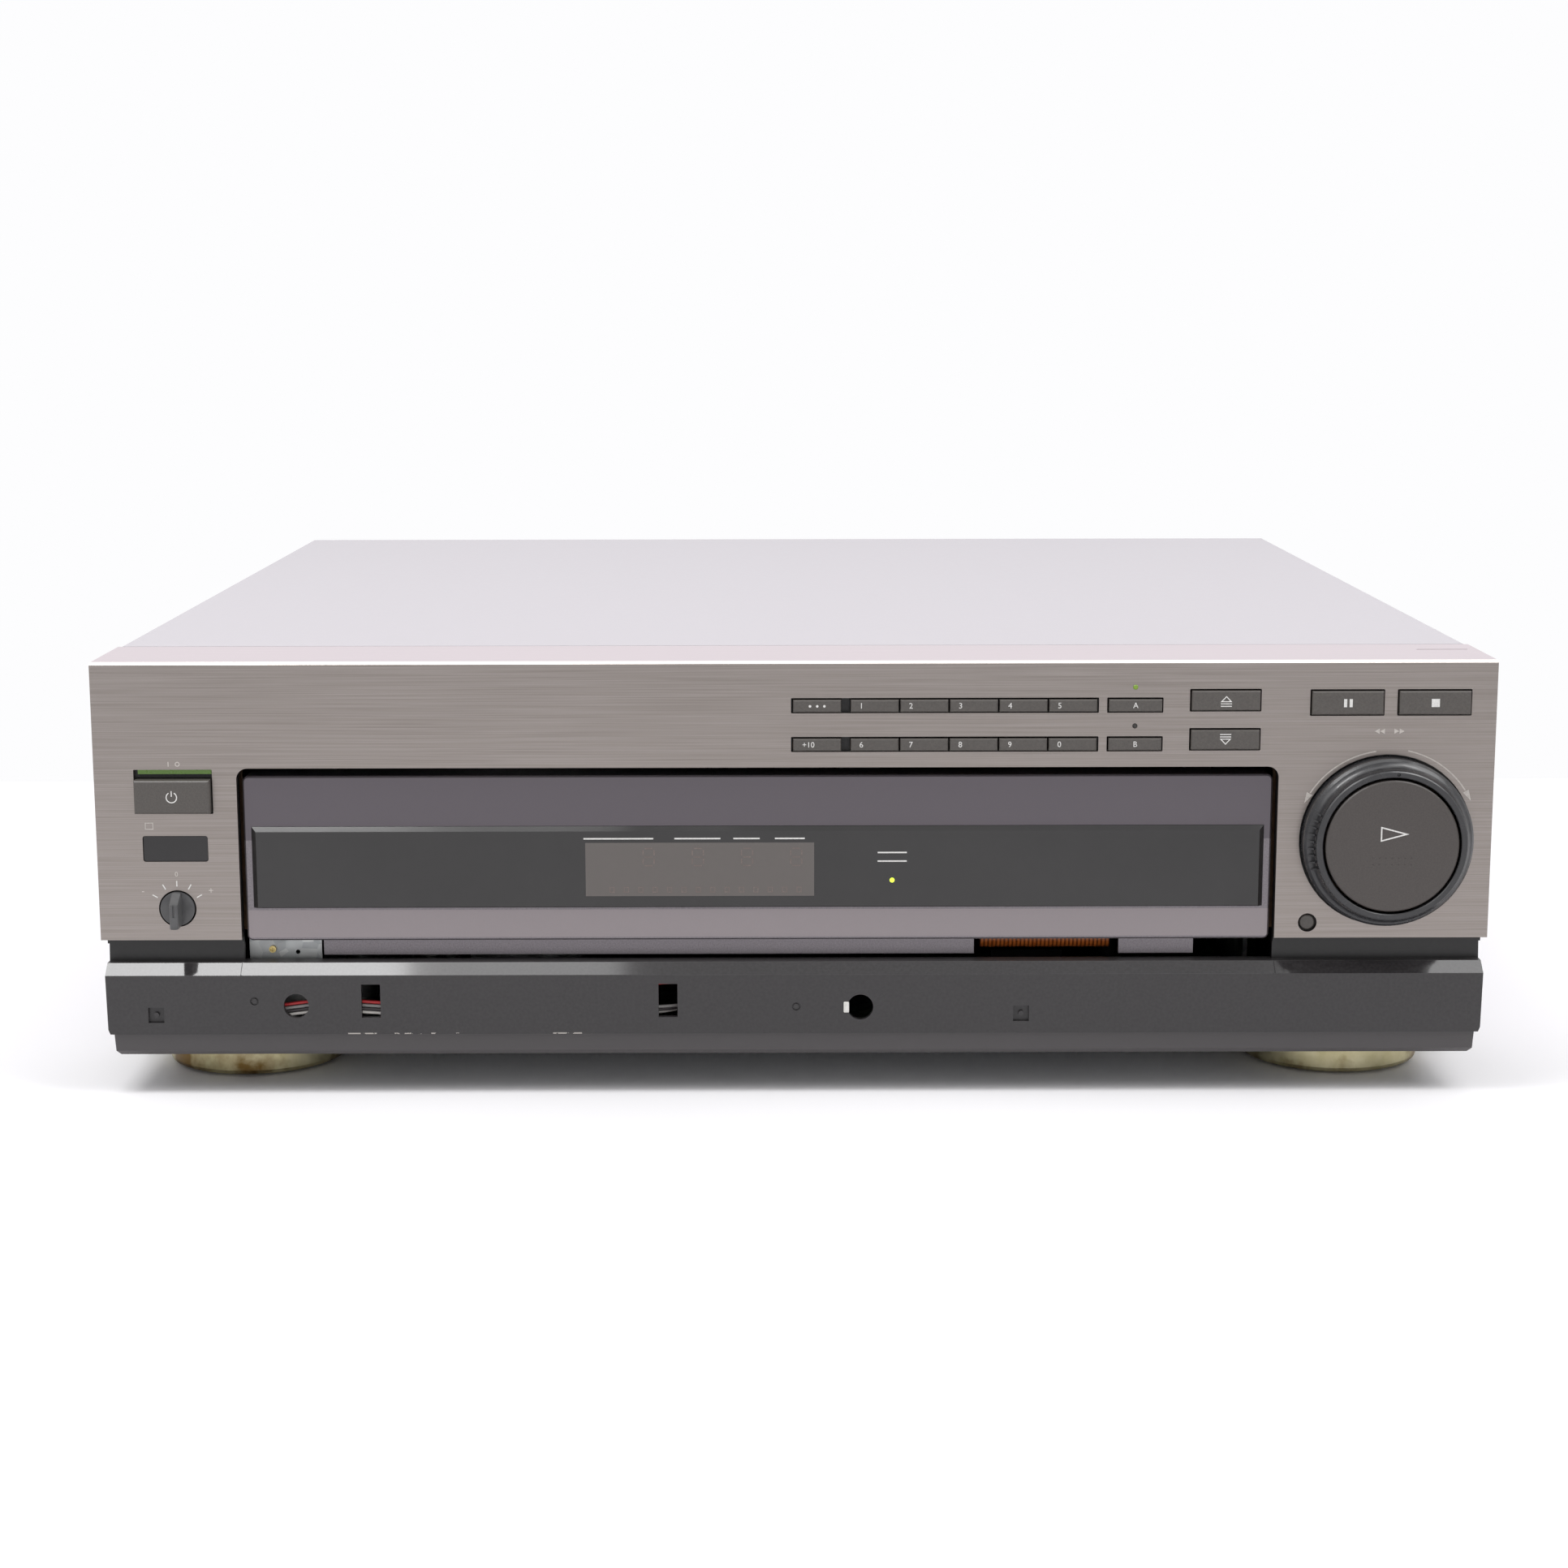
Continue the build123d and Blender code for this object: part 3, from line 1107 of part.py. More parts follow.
def tray():
    """Moulded tray: disc pocket, inner small-disc pocket, open middle, two arms and a rack."""
    x0, x1 = CX - TRAY_HALF, CX + TRAY_HALF
    body = block(x0, x1, DOOR_BACK, TRAY_END, TRAY_Z, TRAY_TOP)
    body += block(x0, x0 + ARM_W, DOOR_BACK, ARM_END, TRAY_Z, TRAY_TOP)
    body += block(x1 - ARM_W, x1, DOOR_BACK, ARM_END, TRAY_Z, TRAY_TOP)
    body -= bar_z(CX, DISC_Y, POCKET_R, POCKET_Z, TRAY_TOP + 1)
    body -= bar_z(CX, DISC_Y, SMALL_POCKET_R, POCKET_Z - SMALL_POCKET_DEEP, TRAY_TOP + 1)
    for side in (-1, 1):
        body -= bar_z(CX + side * DISC_D / 4, DISC_Y - DISC_D * 0.43, 16, POCKET_Z, TRAY_TOP + 1)
    body -= bar_z(CX, DISC_Y, WINDOW_R, TRAY_Z - 1, TRAY_TOP + 1)
    body -= block(CX - WINDOW_R, CX + WINDOW_R, DISC_Y, ARM_END + 1, TRAY_Z - 1, TRAY_TOP + 1)
    rim = DOOR_WALL / 2
    body += block(
        DOOR_X0 + rim,
        DOOR_X1 - rim,
        DOOR_BACK,
        DOOR_BACK + 2,
        DOOR_Z0 + rim,
        DOOR_Z1 - rim,
    )
    body -= block(RIBBON_X0 - 1, RIBBON_X1 + 1, DOOR_BACK - 1, DOOR_BACK + 3, DOOR_Z0, DOOR_Z0 + 12)
    return body + tray_rack()


def tray_rack():
    """Rack under the tray's left arm, with its teeth towards the middle."""
    count = int((ARM_END - 4 - RACK_Y0) / (math.pi * RACK_M))
    back = RACK_PITCH_X - DEDENDUM * RACK_M - RACK_BAR
    teeth = [(RACK_PITCH_X + h, y) for h, y in rack_teeth(RACK_M, RACK_Y0, count)]
    points = [(back, teeth[0][1])] + teeth + [(back, teeth[-1][1])]
    face = make_face(Polyline(*[(x, y, 0) for x, y in points], close=True))
    return Pos(0, 0, RACK_Z) * extrude(face, amount=RACK_H + 0.5, dir=(0, 0, 1))


def loading_gear():
    """Two-step gear on its post: the upper step drives the tray's rack."""
    upper = gear_z(GEAR_X, GEAR_Y, RACK_M, GEAR_TEETH, 180, GEAR_Z0, TRAY_Z - 0.8)
    lower = gear_z(GEAR_X, GEAR_Y, WHEEL_M, WHEEL_TEETH, 0, WHEEL_Z0 + 0.3, WHEEL_Z0 + 0.3 + WHEEL_H)
    hub = bar_z(GEAR_X, GEAR_Y, POST_R + 2.5, WHEEL_Z0 + 0.3, GEAR_Z0)
    return upper + lower + hub - bar_z(GEAR_X, GEAR_Y, POST_R + RUN, 0, TRAY_Z)


def motor_pinion():
    """Small pinion with its shaft, driving the loading gear's lower step."""
    turn = 180 + 180 / DRIVE_TEETH
    pinion = gear_z(DRIVE_X, GEAR_Y, WHEEL_M, DRIVE_TEETH, turn, WHEEL_Z0, WHEEL_Z0 + WHEEL_H + 0.6)
    return pinion + bar_z(DRIVE_X, GEAR_Y, DRIVE_SHAFT_R, FLOOR_Z + 22, WHEEL_Z0)


def loading_motor():
    """Can motor that stands on the pan beside the gear."""
    can = bar_z(DRIVE_X, GEAR_Y, 11.5, FLOOR_Z, WHEEL_Z0 - 4)
    can += bar_z(DRIVE_X, GEAR_Y, 4, WHEEL_Z0 - 4, WHEEL_Z0 - 2.4)
    return can - bar_z(DRIVE_X, GEAR_Y, DRIVE_SHAFT_R + RUN, FLOOR_Z + 20, WHEEL_Z0)


# ---- loader frame ----
def loader_frame():
    """Steel side walls with folded tray guides, a bridge over the disc and a rear tie."""
    wall = TRAY_HALF + GUIDE_SIDE
    end = ARM_END + 2
    top = TRAY_TOP + GUIDE_CLEAR + GUIDE_T
    outside = wall + GUIDE_T
    frame = block(CX - outside, CX + outside, BRIDGE_Y0, BRIDGE_Y1, BRIDGE_Z, BRIDGE_Z + GUIDE_T)
    for side in (-1, 1):
        x_in, x_out = CX + side * wall, CX + side * (wall + GUIDE_T)
        x0, x1 = sorted((x_in, x_out))
        frame += block(x0, x1, LOADER_Y0, end, FLOOR_Z, top)
        frame += block(x0, x1, BRIDGE_Y0, BRIDGE_Y1, top, BRIDGE_Z)
        f0, f1 = sorted((x_in, CX + side * (wall - GUIDE_IN)))
        frame += block(f0, f1, LOADER_Y0, end, TRAY_Z - GUIDE_CLEAR - GUIDE_T, TRAY_Z - GUIDE_CLEAR)
        frame += block(f0, f1, LOADER_Y0, end, TRAY_TOP + GUIDE_CLEAR, top)
    frame += block(CX - wall, CX + wall, end - GUIDE_T, end, FLOOR_Z, FLOOR_Z + 9)
    return frame - bar_z(CX, DISC_Y, CLAMP_STEM_R + RUN, BRIDGE_Z - 1, BRIDGE_Z + GUIDE_T + 1)


def clamper():
    """Round clamp that hangs from the bridge and presses the disc on the turntable."""
    stem_top = BRIDGE_Z + GUIDE_T
    outline = [
        (CONE_R + 1.6, CLAMP_Z),
        (TABLE_R, CLAMP_Z),
        (TABLE_R, CLAMP_Z + 5),
        (CLAMP_STEM_R, CLAMP_Z + 8),
        (CLAMP_STEM_R, stem_top + 0.1),
        (CLAMP_STEM_R + 4, stem_top + 0.1),
        (CLAMP_STEM_R + 4, stem_top + 2),
        (0, stem_top + 2),
        (0, CLAMP_Z + 3.6),
        (CONE_R + 1.6, CLAMP_Z + 3.6),
    ]
    return turned_z(CX, DISC_Y, outline)


# ---- deck ----
def rail_path(x, depth=0.0):
    """The pickup's way: along under the disc, half a turn, and back above it."""
    r = TURN_R + depth
    lower = Line((x, LOWER_WALL_Y + CHEEK_T, TURN_Z - r), (x, TURN_Y, TURN_Z - r))
    turn = ThreePointArc((x, TURN_Y, TURN_Z - r), (x, TURN_Y + r, TURN_Z), (x, TURN_Y, TURN_Z + r))
    upper = Line((x, TURN_Y, TURN_Z + r), (x, UPPER_Y0 + CHEEK_T, TURN_Z + r))
    return lower, turn, upper


def mech_deck():
    """Steel sub-chassis that rises to lift the disc off the tray; its two C-shaped cheeks
    hold the rails below and above the disc."""
    deck = block(CX - DECK_HALF, CX + DECK_HALF, DECK_Y0, DECK_END, DECK_Z, DECK_Z + DECK_T)
    for side in (-1, 1):
        edge0, edge1 = sorted((CX + side * DECK_HALF, CX + side * (DECK_HALF - DECK_T)))
        deck += block(edge0, edge1, DECK_Y0, DECK_END, CAM_PIN_Z - 4, DECK_Z)
        p0, p1 = sorted((CX + side * DECK_HALF, CX + side * (CAM_X + CAM_T + 1)))
        for y in CAM_PIN_YS:
            deck += bar_x(y, CAM_PIN_Z, CAM_PIN_R, p0, p1)
        x0, x1 = sorted((CX + side * CHEEK_X, CX + side * (CHEEK_X + CHEEK_T)))
        deck += cheek(x0, x1)
    low, high = TURN_Z - TURN_R, TURN_Z + TURN_R
    inner = CHEEK_X
    deck += block(CX - inner, CX + inner, LOWER_WALL_Y, LOWER_WALL_Y + CHEEK_T, DECK_Z + DECK_T, low + 5)
    deck += block(CX - inner, CX + inner, UPPER_Y0, UPPER_Y0 + CHEEK_T, high - 5, high + 5)
    for y in (LOWER_WALL_Y + CHEEK_T + 8, TURN_Y - 8):
        deck += block(
            PINION_X - PINION_W / 2, PINION_X + PINION_W / 2, y, y + 6, DECK_Z + DECK_T, TURN_Z - TRACK_BACK_R
        )
    return deck + block(CX - inner, CX + inner, SADDLE_Y, SADDLE_Y + CHEEK_T, DECK_Z + DECK_T, TURN_Z + 9)


def cheek(x0, x1):
    """One C-shaped cheek plate in the YZ plane."""
    reach = TURN_R + RAIL_R + 3.5
    gap = TURN_R - RAIL_R - 3.5
    plate_y = block(x0, x1, LOWER_WALL_Y, TURN_Y, DECK_Z + DECK_T, TURN_Z + reach)
    plate_y += bar_x(TURN_Y, TURN_Z, reach, x0, x1)
    plate_y += block(x0, x1, TURN_Y, SADDLE_Y + CHEEK_T, DECK_Z + DECK_T, TURN_Z)
    plate_y -= block(x0 - 1, x1 + 1, LOWER_WALL_Y - 1, TURN_Y, TURN_Z - gap, TURN_Z + gap)
    plate_y -= bar_x(TURN_Y, TURN_Z, gap, x0 - 1, x1 + 1)
    return plate_y - block(x0 - 1, x1 + 1, LOWER_WALL_Y - 1, UPPER_Y0, TURN_Z, TURN_Z + reach + 1)


def track_place(s):
    """Point, tangent and inward normal at distance s along the rack's pitch line."""
    r = PINION_RACK_R
    straight = TURN_Y - PINION_Y
    if s <= straight:
        return (PINION_Y + s, TURN_Z - r), (1, 0), (0, 1)
    arc = math.pi * r
    if s <= straight + arc:
        a = (s - straight) / r
        return (
            (TURN_Y + r * math.sin(a), TURN_Z - r * math.cos(a)),
            (math.cos(a), math.sin(a)),
            (-math.sin(a), math.cos(a)),
        )
    return (TURN_Y - (s - straight - arc), TURN_Z + r), (-1, 0), (0, -1)


def track_point(s, height):
    (y, z), _, (ny, nz) = track_place(s)
    return y + ny * height, z + nz * height


def pickup_track():
    """Two U-bent guide rails and, between them, the U-bent rack that the sled climbs along."""
    pieces = []
    for x in (CX - RAIL_X, CX + RAIL_X):
        lower, turn, upper = rail_path(x)
        circle = Plane(origin=lower @ 0, z_dir=(0, 1, 0)) * Circle(RAIL_R)
        pieces.append(sweep(circle, path=Wire([lower, turn, upper])))
    pitch = math.pi * PINION_M
    first = -math.floor((PINION_Y - LOWER_WALL_Y - CHEEK_T - 2) / pitch)  # tooth 0 is under the pinion
    total = (TURN_Y - PINION_Y) + math.pi * PINION_RACK_R + (TURN_Y - UPPER_Y0 - CHEEK_T - 3)
    last = math.floor(total / pitch)
    width = pitch / 2 - BACKLASH / 2
    low, high = tooth_outline(PINION_M, width)
    inner = []
    for n in range(first, last + 1):
        s = n * pitch
        for height, half, sign in ((*low, -1), (*high, -1), (*high, 1), (*low, 1)):
            inner.append(track_point(s + sign * half, height))
    back = low[0] - TRACK_BAR
    s0 = first * pitch - low[1]
    s1 = last * pitch + low[1]
    straight = TURN_Y - PINION_Y
    arc = math.pi * PINION_RACK_R
    teeth = Polyline(*[(0, y, z) for y, z in inner])
    start, bend0 = track_point(s0, back), track_point(straight, back)
    middle, bend1 = track_point(straight + arc / 2, back), track_point(straight + arc, back)
    end = track_point(s1, back)
    outer = [
        Line((0, *inner[0]), (0, *start)),
        Line((0, *start), (0, *bend0)),
        ThreePointArc((0, *bend0), (0, *middle), (0, *bend1)),
        Line((0, *bend1), (0, *end)),
        Line((0, *end), (0, *inner[-1])),
    ]
    rack = extrude(make_face([teeth] + outer), amount=PINION_W, dir=(1, 0, 0))
    pieces.append(Pos(PINION_X - PINION_W / 2, 0, 0) * rack)
    return Compound(children=pieces)


def sled_pinion():
    """Pinion and shaft across the sled, in mesh with the rack below."""
    face = make_face(Polyline(*[(0, a, b) for a, b in gear_outline(PINION_M, PINION_TEETH)], close=True))
    gear = extrude(face, amount=PINION_W, dir=(1, 0, 0))
    gear = Pos(PINION_X - PINION_W / 2, PINION_Y, RAIL_Z + PINION_DROP) * Rot(-90, 0, 0) * gear
    left, right = PINION_X - PINION_W / 2, PINION_X + PINION_W / 2
    return gear + bar_x(PINION_Y, RAIL_Z + PINION_DROP, 1.5, left - 2.5, right + 5)


def pickup_sled():
    """Die-cast sled on the two rails, with the optical head, its lens and the feed motor."""
    half = RAIL_X + RAIL_R + 1.2
    y1 = SLED_Y + SLED_L
    body = block(CX - half, CX + half, SLED_Y, y1, RAIL_Z - 4.5, RAIL_Z + 4.7)
    for x in (CX - RAIL_X, CX + RAIL_X):
        body -= bar_y(x, RAIL_Z, RAIL_R + RUN, SLED_Y - 1, y1 + 1)
    clear = PINION_W / 2 + 0.6
    rack_top = TURN_Z - PINION_RACK_R + PINION_M + 0.6
    body -= block(PINION_X - clear, PINION_X + clear, SLED_Y - 1, y1 + 1, RAIL_Z - 5, rack_top)
    tip = PINION_R + PINION_M + 0.6
    body -= block(PINION_X - clear, PINION_X + clear, PINION_Y - tip, PINION_Y + tip, RAIL_Z - 5, RAIL_Z + 6)
    body -= bar_x(PINION_Y, RAIL_Z + PINION_DROP, 1.5 + RUN, PINION_X - clear - 3, PINION_X + clear + 6)
    body += block(CX - 11, CX + 11, SLED_Y, SLED_Y + 16, RAIL_Z + 4.7, LENS_TOP - 3)
    body += block(CX + 13, CX + 23, SLED_Y + 3, y1 - 3, RAIL_Z + 4.7, RAIL_Z + 8)
    body += bar_y(CX + 18, RAIL_Z + 10, 5, SLED_Y + 3, y1 - 3)
    lens = bar_z(CX, SLED_Y + LENS_FRONT, LENS_R, LENS_TOP - 3, LENS_TOP)
    rim = lens.edges().filter_by(lambda e: near(e.center().Z, LENS_TOP))
    return Compound(children=[body, chamfer(rim, 0.8)])


def spindle_motor():
    """Flat motor on the deck, bored for the turntable's shaft."""
    motor = bar_z(CX, DISC_Y, MOTOR_R, DECK_Z + DECK_T, TABLE_Z - TABLE_T - 2)
    motor = chamfer(motor.edges().filter_by(lambda e: near(e.center().Z, TABLE_Z - TABLE_T - 2)), 1.5)
    return motor - bar_z(CX, DISC_Y, SHAFT_R + RUN, DECK_Z + DECK_T + 4, TABLE_Z)


def turntable():
    """Turntable, the large disc's hub, the small disc's cone and the shaft, turned as one."""
    outline = [
        (0, DECK_Z + DECK_T + 4.5),
        (SHAFT_R, DECK_Z + DECK_T + 4.5),
        (SHAFT_R, TABLE_Z - TABLE_T),
        (TABLE_R, TABLE_Z - TABLE_T),
        (TABLE_R, TABLE_Z),
        (HUB_R, TABLE_Z),
        (HUB_R - 0.8, TABLE_Z + HUB_H),
        (CONE_R, TABLE_Z + HUB_H),
        (CONE_R - 2.5, TABLE_Z + HUB_H + CONE_H),
        (0, TABLE_Z + HUB_H + CONE_H),
    ]
    return turned_z(CX, DISC_Y, outline)


def lift_cam():
    """Sliding cam: two side plates with sloping slots for the deck's pins, tied across below."""
    travel = LIFT * CAM_RATIO
    y0 = CAM_PIN_YS[0] - travel - 6
    y1 = CAM_PIN_YS[1] + 7
    bottom = FLOOR_Z + 0.1
    cam = None
    for side in (-1, 1):
        x0, x1 = sorted((CX + side * CAM_X, CX + side * (CAM_X + CAM_T)))
        cheek_plate = block(x0, x1, y0, y1, bottom, CAM_PIN_Z + LIFT + 6)
        for y in CAM_PIN_YS:
            cheek_plate -= cam_slot(x0 - 1, x1 + 1, y, travel)
        cam = cheek_plate if cam is None else cam + cheek_plate
    for y in (DISC_Y - 30, DISC_Y + 130):
        cam += block(CX - CAM_X, CX + CAM_X, y, y + 14, bottom, bottom + CAM_T)
    return cam


def cam_slot(x0, x1, y, travel):
    """Sloping slot from a pin's rest place to where it meets the lifted pin."""
    r = CAM_PIN_R + CAM_GAP
    length = math.hypot(travel, LIFT)
    angle = math.degrees(math.atan2(LIFT, -travel))
    face = Plane(origin=(x0, y - travel / 2, CAM_PIN_Z + LIFT / 2), x_dir=(0, 1, 0), z_dir=(1, 0, 0))
    return extrude(face * Rot(0, 0, angle) * SlotCenterToCenter(length, 2 * r), amount=x1 - x0)


# ---- electrics ----
def transformer():
    """Mains transformer in the right bay: laminated core, winding and foot."""
    x0, x1 = RIGHT_BAY_X0 + 2, RIGHT_BAY_X1 - 2
    y0 = BACK_Y - 118
    y1 = y0 + 62
    z0 = FLOOR_Z
    core = block(x0, x1, y0 + 14, y1 - 14, z0 + 2, z0 + 48)
    foot = block(x0, x1, y0 + 2, y1 - 2, z0, z0 + 2)
    winding = block(x0 + 10, x1 - 10, y0, y1, z0 + 10, z0 + 40)
    winding = fillet(winding.edges().filter_by(Axis.X), 6)
    return core + foot + winding


def capacitor(x, y, z, r, h):
    can = bar_z(x, y, r, z, z + h)
    return chamfer(can.edges().filter_by(lambda e: near(e.center().Z, z + h)), 0.6)


def board_on_posts(outline, posts):
    """A flat board at board height on round posts."""
    board = outline
    for x, y in posts:
        board += bar_z(x, y, 3, FLOOR_Z, BOARD_Z)
    return board


def power_board():
    """Supply board in front of the transformer, with its heat sink and capacitors."""
    x0, x1 = RIGHT_BAY_X0, RIGHT_BAY_X1
    y0, y1 = 52, BACK_Y - 130
    top = BOARD_Z + BOARD_T
    posts = [(x, y) for x in (x0 + 6, x1 - 6) for y in (y0 + 6, y1 - 6)]
    board = board_on_posts(block(x0, x1, y0, y1, BOARD_Z, top), posts)
    for n in range(4):
        board += capacitor(x0 + 14, y0 + 60 + n * 24, top, 8, 30 - 3 * n)
    for n in range(6):
        board += block(x0 + 34, x1 - 5, y0 + 62 + n * 8, y0 + 64 + n * 8, top, top + 34)
    board += block(x0 + 34, x0 + 36, y0 + 62, y0 + 104, top, top + 34)
    return board + block(x0 + 8, x0 + 26, y0 + 12, y0 + 36, top, top + 16)


def main_board():
    """L-shaped signal board on the pan, under the tray."""
    x1 = CX + TRAY_HALF + GUIDE_SIDE - 3
    top = BOARD_Z + BOARD_T
    front_y1 = CAM_PIN_YS[0] - LIFT * CAM_RATIO - 12
    y1 = ARM_END - 10
    board = block(MAIN_X0, x1, MAIN_FRONT_Y0, y1, BOARD_Z, top)
    board += block(MAIN_FRONT_X0, MAIN_X0, MAIN_FRONT_Y0, front_y1, BOARD_Z, top)
    front_posts = [(x, MAIN_FRONT_Y0 + 6) for x in (MAIN_FRONT_X0 + 6, x1 - 6)]
    posts = front_posts + [(x, y1 - 6) for x in (MAIN_X0 + 6, x1 - 6)]
    board = board_on_posts(board, posts)
    for row in range(5):
        y = MAIN_FRONT_Y0 + 30 + row * 56
        board += block(MAIN_X0 + 10, MAIN_X0 + 34, y, y + 24, top, top + 3)
        board += capacitor(MAIN_X0 + 50, y + 6, top, 4, 11)
        board += capacitor(MAIN_X0 + 62, y + 14, top, 3, 8)
    for n in range(3):
        x = MAIN_FRONT_X0 + 22 + n * 20
        board += block(x, x + 12, MAIN_FRONT_Y0 + 20, MAIN_FRONT_Y0 + 38, top, top + 3)
    return board + block(
        MAIN_FRONT_X0 + 2, MAIN_FRONT_X0 + 14, MAIN_FRONT_Y0, MAIN_FRONT_Y0 + 6, top, top + PLUG_H
    )


def rear_jacks():
    """Eight round sockets in one moulded block behind the back panel."""
    x0 = JACK_CX - JACK_PITCH / 2
    x1 = JACK_CX + (JACK_COLUMNS - 0.5) * JACK_PITCH
    z0, z1 = JACK_ROWS[0] - JACK_PITCH / 2, JACK_ROWS[1] + JACK_PITCH / 2
    out = BODY_D + JACK_OUT
    jacks = block(x0, x1, BACK_Y - 12, BACK_Y, z0, z1)
    for column in range(JACK_COLUMNS):
        for z in JACK_ROWS:
            x = JACK_CX + column * JACK_PITCH
            jacks += bar_y(x, z, JACK_R, BACK_Y, out)
            jacks -= bar_y(x, z, JACK_R - JACK_WALL, BACK_Y + 2, out + 1)
            jacks += bar_y(x, z, JACK_PIN_R, BACK_Y + 1.9, out - 0.6)
            jacks -= bar_y(x, z, JACK_PIN_BORE_R, BACK_Y + 3, out + 1)
    return jacks


def mains_inlet():
    """Two-pin inlet set in the back panel; the lead plugs in and isn't part of the player."""
    x0, x1 = INLET_CX - INLET_W / 2, INLET_CX + INLET_W / 2
    z0, z1 = INLET_Z - INLET_H / 2, INLET_Z + INLET_H / 2
    back = BACK_Y + PAN_T
    floor = back - INLET_DEEP
    wall, rim = INLET_WALL, INLET_RIM
    shell = block(x0 - wall, x1 + wall, floor - 3, back, z0 - wall, z1 + wall)
    shell += block(x0 - rim, x1 + rim, back, back + INLET_RIM_T, z0 - rim, z1 + rim)
    shell -= plate(x0, x1, z0, z1, INLET_H / 2 - 0.05, floor, back + 2)
    for side in (-1, 1):
        shell += bar_y(INLET_CX + side * PIN_OUT, INLET_Z, PIN_R, floor - 0.5, back - 1.5)
    return shell


def wire_harness():
    """Four leads from the left control board, along behind the plinth, to the main board."""
    wires = []
    plug_z = BOARD_Z + BOARD_T + PLUG_H / 2
    header_x, header_z = LEFT + 20, PANEL_Z + 20
    header_y = BOARD_Y + BOARD_T + 3
    hole_x = LEFT + HOLES[0][0]
    window_x, window2_x = LEFT + WINDOW_XS[0], LEFT + WINDOW_XS[1]
    y = WIRE_Y
    for n, (up, rise) in enumerate(zip(WIRE_UPS, WIRE_RISE)):
        across = (3 - n) * WIRE_PITCH
        x, z = header_x + across, FACE_Z + up
        plug_x = MAIN_FRONT_X0 + 4 + across
        points = [
            (x, header_y, header_z),
            (x, header_y, header_z - 16),
            (x + 2, 11, z + 8),
            (hole_x - 12, y, z - 1.4),
            (hole_x + 9, y, z + 1.6),
            (window_x + 12, y, z - 0.2),
            (window_x + 40, y, z + 0.2),
            (window2_x - 22, y, z + rise * 0.6),
            (plug_x - 16, y, z + rise),
            (plug_x - 1, y + 9, (z + rise + plug_z) / 2),
            (plug_x, MAIN_FRONT_Y0 - 17, plug_z),
            (plug_x, MAIN_FRONT_Y0, plug_z),
        ]
        radii = bend_radii(points)
        print("lead", n + 1, "bend radii", [round(r, 1) for r in radii])
        path = FilletPolyline(*points, radius=radii)
        wires.append(sweep(Plane(origin=path @ 0, z_dir=path % 0) * Circle(WIRE_R), path=path))
    left, right = header_x - 1.5, header_x + 3 * WIRE_PITCH + 1.5
    header = block(left, right, header_y - 3, header_y + 3, header_z, header_z + PLUG_H)
    return Compound(children=wires + [header])


def bend_radii(points):
    """For each corner, the largest arc that takes under half of the shorter run beside it."""
    radii = []
    for before, corner, after in zip(points, points[1:], points[2:]):
        a = Vector(*corner) - Vector(*before)
        b = Vector(*after) - Vector(*corner)
        turn = math.radians(a.get_angle(b))
        radii.append(0.45 * min(a.length, b.length) / math.tan(turn / 2))
    return radii


PIECES = {
    "top_cover": top_cover,
    "front_panel": front_panel,
    "front_frame": front_frame,
    "plinth": plinth,
    "chassis_pan": chassis_pan,
    "back_panel": back_panel,
    "feet": feet,
    "foot_pads": foot_pads,
    "screws": screws,
    "tray_bracket": tray_bracket,
    "ir_window": ir_window,
    "indicator_lights": indicator_lights,
    "shuttle_ring": shuttle_ring,
    "play_button": play_button,
    "picture_knob": picture_knob,
    "display_button": display_button,
    "control_boards": control_boards,
    "tray_front": tray_front,
    "window_strip": window_strip,
    "display_tube": display_tube,
    "tray_lip": tray_lip,
    "display_ribbon": display_ribbon,
    "tray": tray,
    "loader_frame": loader_frame,
    "loading_gear": loading_gear,
    "motor_pinion": motor_pinion,
    "loading_motor": loading_motor,
    "clamper": clamper,
    "mech_deck": mech_deck,
    "pickup_track": pickup_track,
    "pickup_sled": pickup_sled,
    "sled_pinion": sled_pinion,
    "spindle_motor": spindle_motor,
    "turntable": turntable,
    "lift_cam": lift_cam,
    "transformer": transformer,
    "power_board": power_board,
    "main_board": main_board,
    "rear_jacks": rear_jacks,
    "mains_inlet": mains_inlet,
    "wire_harness": wire_harness,
}

os.makedirs("parts", exist_ok=True)
for node, make in PIECES.items():
    save(node, make())
for node in CAPS:
    save(node, push_button(node))
print("panel", PANEL_W, "x", PANEL_H, "height", TOP_Z, "depth", BODY_D, "origin y", ORIGIN_Y)
print("tray travel", TRAY_TRAVEL, "sled travel", SLED_TRAVEL, "lift", LIFT)
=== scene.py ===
import math

import bmesh
import bpy
from mathutils import Matrix, Vector


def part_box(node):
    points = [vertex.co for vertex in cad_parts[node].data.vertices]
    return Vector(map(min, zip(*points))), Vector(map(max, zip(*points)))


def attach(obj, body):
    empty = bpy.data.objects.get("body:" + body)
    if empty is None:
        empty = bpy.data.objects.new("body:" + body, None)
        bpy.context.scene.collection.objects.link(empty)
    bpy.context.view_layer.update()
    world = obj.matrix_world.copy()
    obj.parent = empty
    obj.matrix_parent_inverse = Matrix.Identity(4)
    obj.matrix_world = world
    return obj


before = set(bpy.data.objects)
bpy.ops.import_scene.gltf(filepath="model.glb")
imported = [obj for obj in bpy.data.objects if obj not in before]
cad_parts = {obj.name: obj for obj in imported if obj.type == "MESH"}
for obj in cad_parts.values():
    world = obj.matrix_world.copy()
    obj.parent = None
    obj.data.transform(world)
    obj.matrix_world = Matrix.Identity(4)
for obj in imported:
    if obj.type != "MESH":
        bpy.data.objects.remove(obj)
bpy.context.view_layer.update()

# ---- Feet ----
# Four pressed discs of brass-tinted plated steel, each with a black rubber pad pushed in from below.
# Damp has left brown stains on the plating, most of all round the lower edge.
MM = 0.001
RELIEF = 0.3  # strength of every grain's bump


